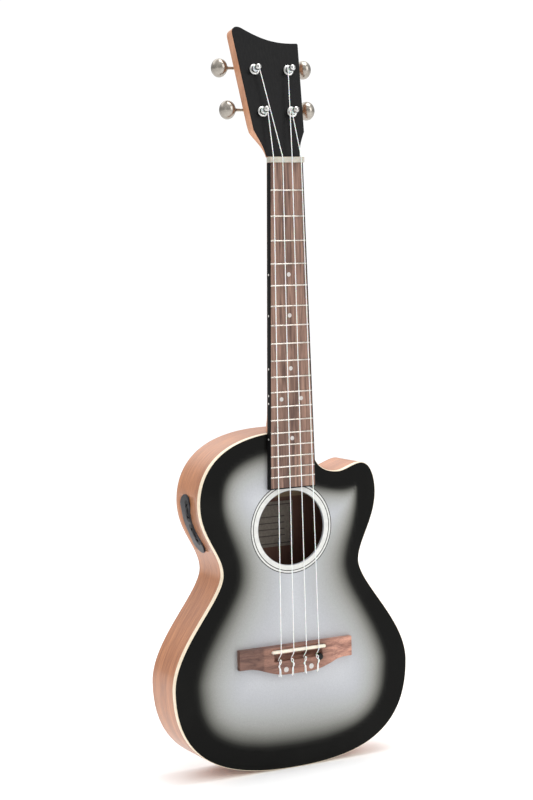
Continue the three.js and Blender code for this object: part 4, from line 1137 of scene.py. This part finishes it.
def fingerboard():
    low, high = fingerboard_half_width(FINGERBOARD_END_Z), fingerboard_half_width(NUT_Z)
    top = NUT_Z + EDGE_WIDTH
    outline = [(-low, FINGERBOARD_END_Z), (low, FINGERBOARD_END_Z), (high, top), (-high, top)]
    section = [(0, TOP_Y), (0, FINGERBOARD_FACE_Y + 0.5), (0.15, FINGERBOARD_FACE_Y + 0.15)]
    section += [(0.5, FINGERBOARD_FACE_Y), (EDGE_WIDTH, FINGERBOARD_FACE_Y), (EDGE_WIDTH, TOP_Y)]
    edge = sweep("fingerboard_edge", outline, section, MATERIALS["black_edge"])
    piece(edge)
    board = plate(
        "fingerboard_wood", [inset(outline, EDGE_WIDTH)], [(0, FINGERBOARD_FACE_Y), (0, TOP_Y)],
        MATERIALS["fingerboard_wood"],
    )
    piece(board, replaces=("fingerboard",))
    frets = merged("fret_wires", [fret_wire(number) for number in range(1, FRET_COUNT + 1)])
    piece(frets)
    dots, side_dots = [], []
    for number, places in DOT_PLACES:
        z = (fret_z(number) + fret_z(number - 1)) / 2
        for x in places:
            name = f"dot_{number}_{x}"
            dots.append(dot(name, x, z, DOT_RADIUS, FINGERBOARD_FACE_Y - 0.03, MATERIALS["pearl"]))
            side_dots.append(side_dot("side_" + name, z + 0.35 * x))
    piece(merged("fingerboard_dots", dots))
    piece(merged("side_dots", side_dots))


def side_dot(name, z):
    """A small inlay in the bass edge of the fingerboard."""
    edge = -fingerboard_half_width(z)
    profile = [(edge - 0.06, 0.9), (edge - 0.02, 1.0), (edge + 0.5, 1.0)]
    return lathe(name, profile, lambda x, a, b: (x, TOP_Y - 2.6 + a, z + b), MATERIALS["pearl"], 24)


def upright(x, height, z):
    """Lays a plate across the strings, its height measured from the soundboard."""
    return x, TOP_Y - height, z


def nut():
    reach, crown = NUT_WIDTH / 2 + 0.3, NUT_HEIGHT
    slot_floor, slot_half = NUT_HEIGHT - 0.75, 0.5
    corners = [(-reach, 0), (reach, 0), (reach, crown)]
    for x in STRING_NUT_X[::-1]:
        right, left = x + slot_half, x - slot_half
        corners += [(right, crown), (right, slot_floor), (left, slot_floor), (left, crown)]
    corners.append((-reach, crown))
    profile = edge_profile(NUT_Z, HEAD_BASE_Z, 0.3, 0.3, 3)
    bone = plate("bone_nut", [rounded(corners, 0.5, 3)], profile, MATERIALS["bone"], place=upright)
    piece(bone, replaces=("nut",))


# ---------------------------------------------------------------- bridge and strings

BRIDGE_HEIGHT = 8.5
WING_HEIGHT = 5
WING_START = 35
BRIDGE_OUTLINE = curve_chain(
    (-58, 114.9),
    ((-58, 97),),
    ((-50, 97),),
    ((-36, 97), (-28, 88.7), (-10, 88.7)),
    ((10, 88.7),),
    ((28, 88.7), (36, 97), (50, 97)),
    ((58, 97),),
    ((58, 114.9),),
    ((-58, 114.9),),
)
RECESS_LOW = 101.5
TIE_Y = TOP_Y - 5.8


def bridge_face(x):
    """Height of the bridge's face: level in the middle, with hollowed wings."""
    beyond = abs(x) - WING_START
    if beyond <= 0:
        return BRIDGE_HEIGHT
    t = (math.sqrt(256 + 32 * beyond) - 16) / 16
    return (1 - t) ** 2 * BRIDGE_HEIGHT + 2 * t * (1 - t) * WING_HEIGHT + t * t * WING_HEIGHT


def on_bridge(x, z, height):
    return x, TOP_Y - height * bridge_face(x) / BRIDGE_HEIGHT, z


def box_cutter(low, high):
    outline = rectangle(low[0], low[2], high[0], high[2])
    return plate("cutter", [outline], [(0, low[1]), (0, high[1])], MATERIALS["bridge_wood"])


def bridge():
    material = MATERIALS["bridge_wood"]
    profile = [(depth, -height) for depth, height in edge_profile(-BRIDGE_HEIGHT, 0, front_radius=0.9)]
    block = plate("bridge_block", [BRIDGE_OUTLINE], profile, material, place=on_bridge, spacing=2.2)
    crest = TOP_Y - BRIDGE_HEIGHT
    cutters = [
        box_cutter((-25, crest - 1, RECESS_LOW), (25, TOP_Y - 4.5, 108)),
        box_cutter((-27.6, crest - 1, SADDLE_Z - 1.5), (27.6, TOP_Y - 2.5, SADDLE_Z + 1.5)),
    ]
    bore = [(85, 0.8), (RECESS_LOW + 3, 0.8)]
    for x in STRING_SADDLE_X:
        cutters.append(lathe("cutter", bore, lambda z, a, b, x=x: (x + a, TIE_Y + b, z), material, 16))
    block = carve(block, *cutters)
    block.data.set_sharp_from_angle(angle=math.radians(SHARP_DEGREES))
    piece(block, replaces=("bridge",))
    front = crest - 0.04
    inlays = [dot(f"bridge_dot_{x}", x, 93.4, 2.4, front, MATERIALS["pearl"]) for x in (-13, 13)]
    piece(merged("bridge_dots", inlays))
    button = [(front - 0.9, 0.3), (front - 0.8, 1.6), (front - 0.35, 2.6), (front, 2.9), (TOP_Y - 4.6, 2.9)]
    black = lathe(
        "bridge_black_dot", button, lambda y, a, b: (22.6 + a, y, 100.7 + b), MATERIALS["ink_black"], 32
    )
    piece(black)


def saddle():
    outline = rounded(rectangle(-27.5, 3.8, 27.5, 11), 1.8, 6)
    profile = edge_profile(SADDLE_Z - 1.4, SADDLE_Z + 1.4, 1.0, 1.0, 5)
    bone = plate("bone_saddle", [outline], profile, MATERIALS["saddle_bone"], place=upright)
    piece(bone, replaces=("saddle",))


WAIST_RADIUS = 2.3
WINDING_RADIUS = WAIST_RADIUS + STRING_RADIUS
WINDING_Y = -5.2


def string_path(side, x, along, string):
    """From the hole in the bridge, over the saddle and the nut, to the winding on the post."""
    saddle_x, nut_x = STRING_SADDLE_X[string], STRING_NUT_X[string]
    post_x = x - side * WINDING_RADIUS
    touch = head_to_world(post_x, WINDING_Y, along - 0.3)
    over_bridge = [
        (TIE_Y, 97),
        (TIE_Y, 101.9),
        (TIE_Y - 1.6, 104.2),
        (STRING_SADDLE_Y + 0.5, 108.3),
        (STRING_SADDLE_Y, 110.2),
        (STRING_SADDLE_Y, 112.1),
    ]
    bend = smooth_path([(saddle_x, y, z) for y, z in over_bridge], 5)
    over_nut = [
        (nut_x, STRING_NUT_Y, NUT_Z + 0.2),
        (nut_x, STRING_NUT_Y, NUT_Z + 3.8),
        (nut_x + (post_x - nut_x) * 0.015, STRING_NUT_Y + 0.22, HEAD_BASE_Z + 0.7),
    ]
    return [*bend, *(Vector(p) for p in over_nut), Vector(touch)]


TIE_KNOT = [
    # share of the lean across, distance behind the bridge's front line, z
    (0.4, 0.9, 88.1),
    (0.45, 0, 89.6),
    (0.45, -0.05, 95),
    (0.45, -0.15, 99.8),
    (0.4, -0.6, 101.9),
    (-0.6, 0.2, 103.0),
    (-1.3, -0.1, 102.0),
    (-0.9, -0.3, 100.2),
    (0.3, -0.9, 99.2),
    (1.2, -0.7, 98.4),
    (1.4, -0.2, 97.2),
    (0.9, -0.15, 96.0),
    (-0.3, -0.2, 94.6),
    (-0.6, -0.1, 91.0),
    (-0.7, -0.2, 87.4),
]


def tie_path(x, lean):
    """The loop that holds a string to the bridge: out of the hole, over the block, under itself and away."""
    front = TOP_Y - BRIDGE_HEIGHT - STRING_RADIUS
    start = [(x, TIE_Y, 96), (x, TIE_Y, 88.3), (x + 0.2 * lean, TIE_Y - 0.4, 87.7)]
    return smooth_path([*start, *((x + share * lean, front + y, z) for share, y, z in TIE_KNOT)], 5)


def strings():
    for name, side, x, along, string in POSTS:
        path = string_path(side, x, along, string)
        line = tube("string_line", path, STRING_RADIUS, MATERIALS["nylon"])
        lean = 1 if string % 2 else -1
        tie = tube("string_tie", tie_path(STRING_SADDLE_X[string], lean), STRING_RADIUS, MATERIALS["nylon"])
        whole = merged(f"nylon_string_{string + 1}", [line, tie])
        piece(whole, replaces=(f"string_{string + 1}",))


# ---------------------------------------------------------------- tuners

WORM_Y = HEAD_THICKNESS + 5
WORM_OFFSET = 7
PLATE_FRONT, PLATE_FACE = 12.3, 13.5  # from the face of the head
EAR_FOOT = 12.7
WORM_HALF_LENGTH = 5.6
WORM_PITCH = 2.2
GEAR_TEETH = 14
GEAR_RADIUS = 4.75
BUTTON_REACH = 18.3
BUTTON_LENGTH = 14.3
BUTTON_RADIUS = 8.5
BUTTON_INNER_DOME = 7.3


def about_post(x, along):
    """A place function for pieces turned about a line through the head."""
    return lambda y, a, b: head_to_world(x + a, y, along + b)


def screw_slot(name, half_width, half_height, low, high, place):
    outline = rectangle(-half_width, -half_height, half_width, half_height)
    return plate(
        name, [outline], [(0, low), (0, high)], MATERIALS["nickel"], place=lambda a, b, y: place(y, a, b)
    )


def tuner_ear(axis, middle):
    """One of the two ears that hold the worm's shaft."""
    ear = [(axis - 3, EAR_FOOT), (axis + 3, EAR_FOOT)]
    ear += [(axis + 3 * math.cos(a), WORM_Y + 3 * math.sin(a)) for a in np.linspace(0, math.pi, 17)]
    low, high = middle - 0.9, middle + 0.9
    return plate(
        "tuner_ear", [ear, circle(axis, WORM_Y, 1.7, 24, clockwise=True)],
        edge_profile(low, high, 0.25, 0.25, 3), MATERIALS["nickel"],
        place=lambda v, y, u: head_to_world(u, y, v), hole_profile=[(0, low), (0, high)],
    )


def tuner_screw(x, along):
    """A round head with a cross slot."""
    place = about_post(x, along)
    profile = [(13.4, 1.5), (13.8, 1.6), (14.2, 1.35), (14.45, 0.8), (14.5, 0.2)]
    head = lathe("tuner_screw", profile, place, MATERIALS["nickel"], 24)
    slots = [screw_slot("screw_slot", u, v, 14.0, 15, place) for u, v in ((1.1, 0.22), (0.22, 1.1))]
    return carve(head, *slots)


def tuner_plate(name, side, x, along):
    corners = rectangle(x - 9.6, along - 6.5, x + 9.6, along + 11.5)
    parts = [
        plate(
            "tuner_base", [rounded(corners, 2.4, 6), circle(x, along, 3.1, 24, clockwise=True)],
            edge_profile(PLATE_FRONT, PLATE_FACE, 0, 0.4), MATERIALS["nickel"],
            place=on_head, hole_profile=[(0, PLATE_FRONT), (0, PLATE_FACE)],
        )
    ]
    for end in (-1, 1):
        parts.append(tuner_ear(along + WORM_OFFSET, x + end * 7))
        parts.append(tuner_screw(x + end * 7.2, along - 4.1))
    piece(merged(f"tuner_back_{name}", parts), replaces=(f"tuner_plate_{name}",))


def button_profile():
    """A polished knob: a short collar on the shaft, then two domes that meet at the widest line."""
    start, end = BUTTON_REACH, BUTTON_REACH + BUTTON_LENGTH
    widest = start + BUTTON_INNER_DOME
    profile = [(start - 1.3, 1.4), (start - 1.2, 1.9), (start - 0.6, 2.1), (start - 0.1, 2.0)]
    for angle in np.linspace(0.25, math.pi / 2, 14):
        profile.append((widest - BUTTON_INNER_DOME * math.cos(angle), BUTTON_RADIUS * math.sin(angle)))
    for angle in np.linspace(0.1, 1.55, 14):
        profile.append((widest + (end - widest) * math.sin(angle), BUTTON_RADIUS * math.cos(angle)))
    return profile


def tuner_key(name, side, x, along):
    """Helical worm, shaft and round button."""

    def place(out, a, b):
        return head_to_world(x + side * out, WORM_Y + a, along + WORM_OFFSET + b)

    rings = []
    for step in range(91):
        out = -WORM_HALF_LENGTH + 2 * WORM_HALF_LENGTH * step / 90
        run_out = min(1.0, (WORM_HALF_LENGTH - abs(out)) / 0.8)

        def radius(angle, out=out, run_out=run_out):
            thread = 0.4 * math.cos(2 * math.pi * out / WORM_PITCH - side * angle)
            return 1.65 + run_out * (0.35 + thread)

        rings.append(turned_ring(place, out, radius, 28))
    worm = loft("worm", rings, MATERIALS["nickel"], sharp=60)
    profile = [(-8.7, 0.6), (-8.6, 1.1), (-8.3, 1.2), (-5.4, 1.2), (-5.4, 0.9), (5.4, 0.9), (5.4, 1.5)]
    shaft = lathe("shaft", [*profile, (17.2, 1.5), (17.5, 1.7)], place, MATERIALS["nickel"], 28)
    button = lathe("button", button_profile(), place, MATERIALS["satin_nickel"], 56)
    key = merged(f"tuner_button_{name}", [worm, shaft, button])
    piece(key, f"key_{name}", (f"tuner_key_{name}",))


def gear(place, low, high, material):
    def tooth(angle):
        return max(-0.8, min(0.8, 1.6 * math.cos(GEAR_TEETH * angle))) * 0.45

    rings = []
    for height, share in ((low, 0.92), (low + 0.4, 1), (high - 0.4, 1), (high, 0.92)):
        rings.append(
            turned_ring(place, height, lambda angle: (GEAR_RADIUS + tooth(angle)) * share, GEAR_TEETH * 10)
        )
    return loft("gear", rings, material)


def string_post(name, x, along):
    """Post with a rounded tip and a string hole, and its worm wheel held by a slotted screw."""
    place = about_post(x, along)
    tip = [(-11 + 2.6 * (1 - math.cos(a)), 2.9 * math.sin(a)) for a in np.linspace(0.12, math.pi / 2, 10)]
    profile = [*tip, (-7.7, 2.85), (-7.1, 2.6), (-6.8, WAIST_RADIUS), (-3.7, WAIST_RADIUS), (-3.3, 2.6)]
    profile += [(-3, 2.9), (9, 2.9), (9, 2.4), (WORM_Y - 2, 2.4)]
    shank = lathe("shank", profile, place, MATERIALS["chrome"], 40)
    across = [(-5, 0.65), (5, 0.65)]
    hole = lathe("string_hole", across, lambda a, y, b: place(-7.9 + y, a, b), MATERIALS["chrome"], 16)
    shank = carve(shank, hole)
    wheel = gear(place, WORM_Y - 2, WORM_Y + 2, MATERIALS["brass"])
    screw_profile = [(18.8, 2.6), (19.6, 2.6), (20.0, 2.3), (20.2, 1.6)]
    screw = lathe("gear_screw", screw_profile, place, MATERIALS["nickel"], 24)
    screw = carve(screw, screw_slot("gear_slot", 3, 0.3, 19.7, 21, place))
    whole = merged(f"tuner_post_{name}", [shank, wheel, screw])
    piece(whole, f"post_{name}", (f"string_post_{name}",))


def string_winding(name, side, x, along):
    """Turns of string on a post, from its side nearest the middle of the head."""
    path = []
    turns, steps = 3.2, 28
    for i in range(int(turns * steps) + 1):
        angle = math.pi * (side > 0) + side * 2 * math.pi * i / steps
        share = i / (turns * steps)
        y = WINDING_Y + 1.2 - 2.5 * abs(share - 0.45)
        radius = WINDING_RADIUS + 0.12 * math.sin(7 * angle)
        path.append(head_to_world(x + radius * math.cos(angle), y, along + radius * math.sin(angle)))
    coil = tube(f"string_winding_{name}", path, STRING_RADIUS, MATERIALS["nylon"], 10)
    piece(coil, f"post_{name}")


def bushing(name, x, along):
    flange = [(-1.95, 3.25), (-2.15, 3.45), (-2.2, 3.8), (-2.1, 4.25), (-1.75, 4.7), (-1.3, 5.0)]
    flange += [(-0.8, 5.18), (-0.4, 5.2), (-0.12, 5.1), (-0.12, 4.2)]
    profile = [(8, 3.2), *flange, (8, 4.2), (8, 3.2)]
    place = about_post(x, along)
    sleeve = lathe(f"bushing_{name}", profile, place, MATERIALS["chrome"], 48, caps=False)
    piece(sleeve, replaces=(f"post_bushing_{name}",))


def tuners():
    for name, side, x, along, _ in POSTS:
        tuner_plate(name, side, x, along)
        tuner_key(name, side, x, along)
        string_post(name, x, along)
        string_winding(name, side, x, along)
        bushing(name, x, along)


# ---------------------------------------------------------------- parts kept from the CAD model

# The parts inside the body take the two interior woods, whose dark colours are painted shade.
KEPT = {
    "inner_wood": ["neck_block", "tail_block", "bridge_plate"],
    "spruce": [
        "top_lining_", "back_lining_", "upper_face_brace", "lower_face_brace", "fan_brace", "back_brace_",
    ],
    "label": ["body_label"],
    "dark_plastic": ["preamp_housing"],
    "nickel": ["coin_cell"],
    "brass": ["piezo_strip"],
    "rubber": ["pickup_lead", "jack_lead"],
}


def dress_kept_parts():
    for name, obj in frame["nodes"].items():
        for material, starts in KEPT.items():
            if name.startswith(tuple(starts)):
                for slot in obj.material_slots:
                    slot.material = MATERIALS[material]


# ---------------------------------------------------------------- floor, lights and camera


FLOOR_RADIUS = 60000
WHITE = (1, 1, 1, 1)


def floor():
    recipe = Recipe("pale_floor", roughness=0.75, emission_color=WHITE, emission_strength=0.06)
    drift = recipe.noise(3)
    recipe.set("Base Color", recipe.mix(drift, (0.93, 0.93, 0.93), (0.96, 0.96, 0.96)))
    points = [(x, y, -0.3) for x, y in circle(0, 0, FLOOR_RADIUS, 96)]
    disc = mesh_object("studio_floor", points, [list(range(len(points)))], recipe.material)


def world():
    """White to the camera; as light and in reflections, a soft gradient with a glow high up behind."""
    sky = bpy.data.worlds.new("studio")
    sky.use_nodes = True
    scene.world = sky
    nodes = Nodes(sky.node_tree)
    parts = nodes.node("SeparateXYZ", {0: nodes.node("TexCoord").outputs["Generated"]}).outputs
    rise = {"Value": parts[2], "From Min": -0.2, "From Max": 0.9, "To Min": 0.3, "To Max": 1.05}
    height = nodes.node("MapRange", rise).outputs[0]
    behind = nodes.remap(parts[1], 0.3, 0.7, 0.0, 1.1)
    high = nodes.remap(parts[2], 0.32, 0.52, 0.0, 1.1)
    strength = nodes.math("MULTIPLY_ADD", behind, high, height)
    light = nodes.node("Background", {"Color": WHITE, "Strength": strength})
    backdrop = nodes.node("Background", {"Color": WHITE, "Strength": 1.05})
    seen = nodes.node("LightPath").outputs["Is Camera Ray"]
    mix = nodes.node("MixShader", {0: seen, 1: light.outputs[0], 2: backdrop.outputs[0]})
    nodes.tree.links.new(mix.outputs[0], nodes.tree.nodes["World Output"].inputs[0])


def softbox(name, position, aim, width, height, power):
    light = bpy.data.lights.new(name, "AREA")
    light.shape = "RECTANGLE"
    light.size, light.size_y = width, height
    light.energy = power
    obj = bpy.data.objects.new(name, light)
    obj.location = position
    obj.rotation_euler = (Vector(aim) - Vector(position)).to_track_quat("-Z", "Y").to_euler()
    scene.collection.objects.link(obj)


def lights():
    middle = (0, 0, 0.3)
    softbox("key", (1.1, -2.0, 1.3), middle, 1.2, 1.6, 16)
    softbox("fill", (-2.2, -0.9, 0.7), middle, 1.2, 1.8, 2)
    softbox("overhead", (0.25, -0.1, 2.0), middle, 1.0, 1.0, 16)


def camera():
    """The photograph's viewpoint: left of the front, level with the upper neck, looking slightly down."""
    heading, pitch, roll = math.radians(28.335), math.radians(-4.827), math.radians(-1.275)
    lens = bpy.data.cameras.new("camera")
    lens.lens = 83.30
    obj = bpy.data.objects.new("camera", lens)
    obj.location = (-0.8015, -1.4625, 0.4754)
    turn = Matrix.Rotation(-heading, 3, "Z") @ Matrix.Rotation(math.pi / 2 + pitch, 3, "X")
    obj.rotation_euler = (turn @ Matrix.Rotation(roll, 3, "Z")).to_euler()
    scene.collection.objects.link(obj)
    scene.camera = obj


# ---------------------------------------------------------------- the whole scene

soundboard()
rosette()
top_binding()
treble_side()
bass_side()
back_plate()
preamp_panel()
thumbwheels()
output_jack()
neck()
fingerboard()
nut()
bridge()
saddle()
strings()
tuners()
dress_kept_parts()
floor()
world()
lights()
camera()
scene.view_settings.view_transform = "Standard"
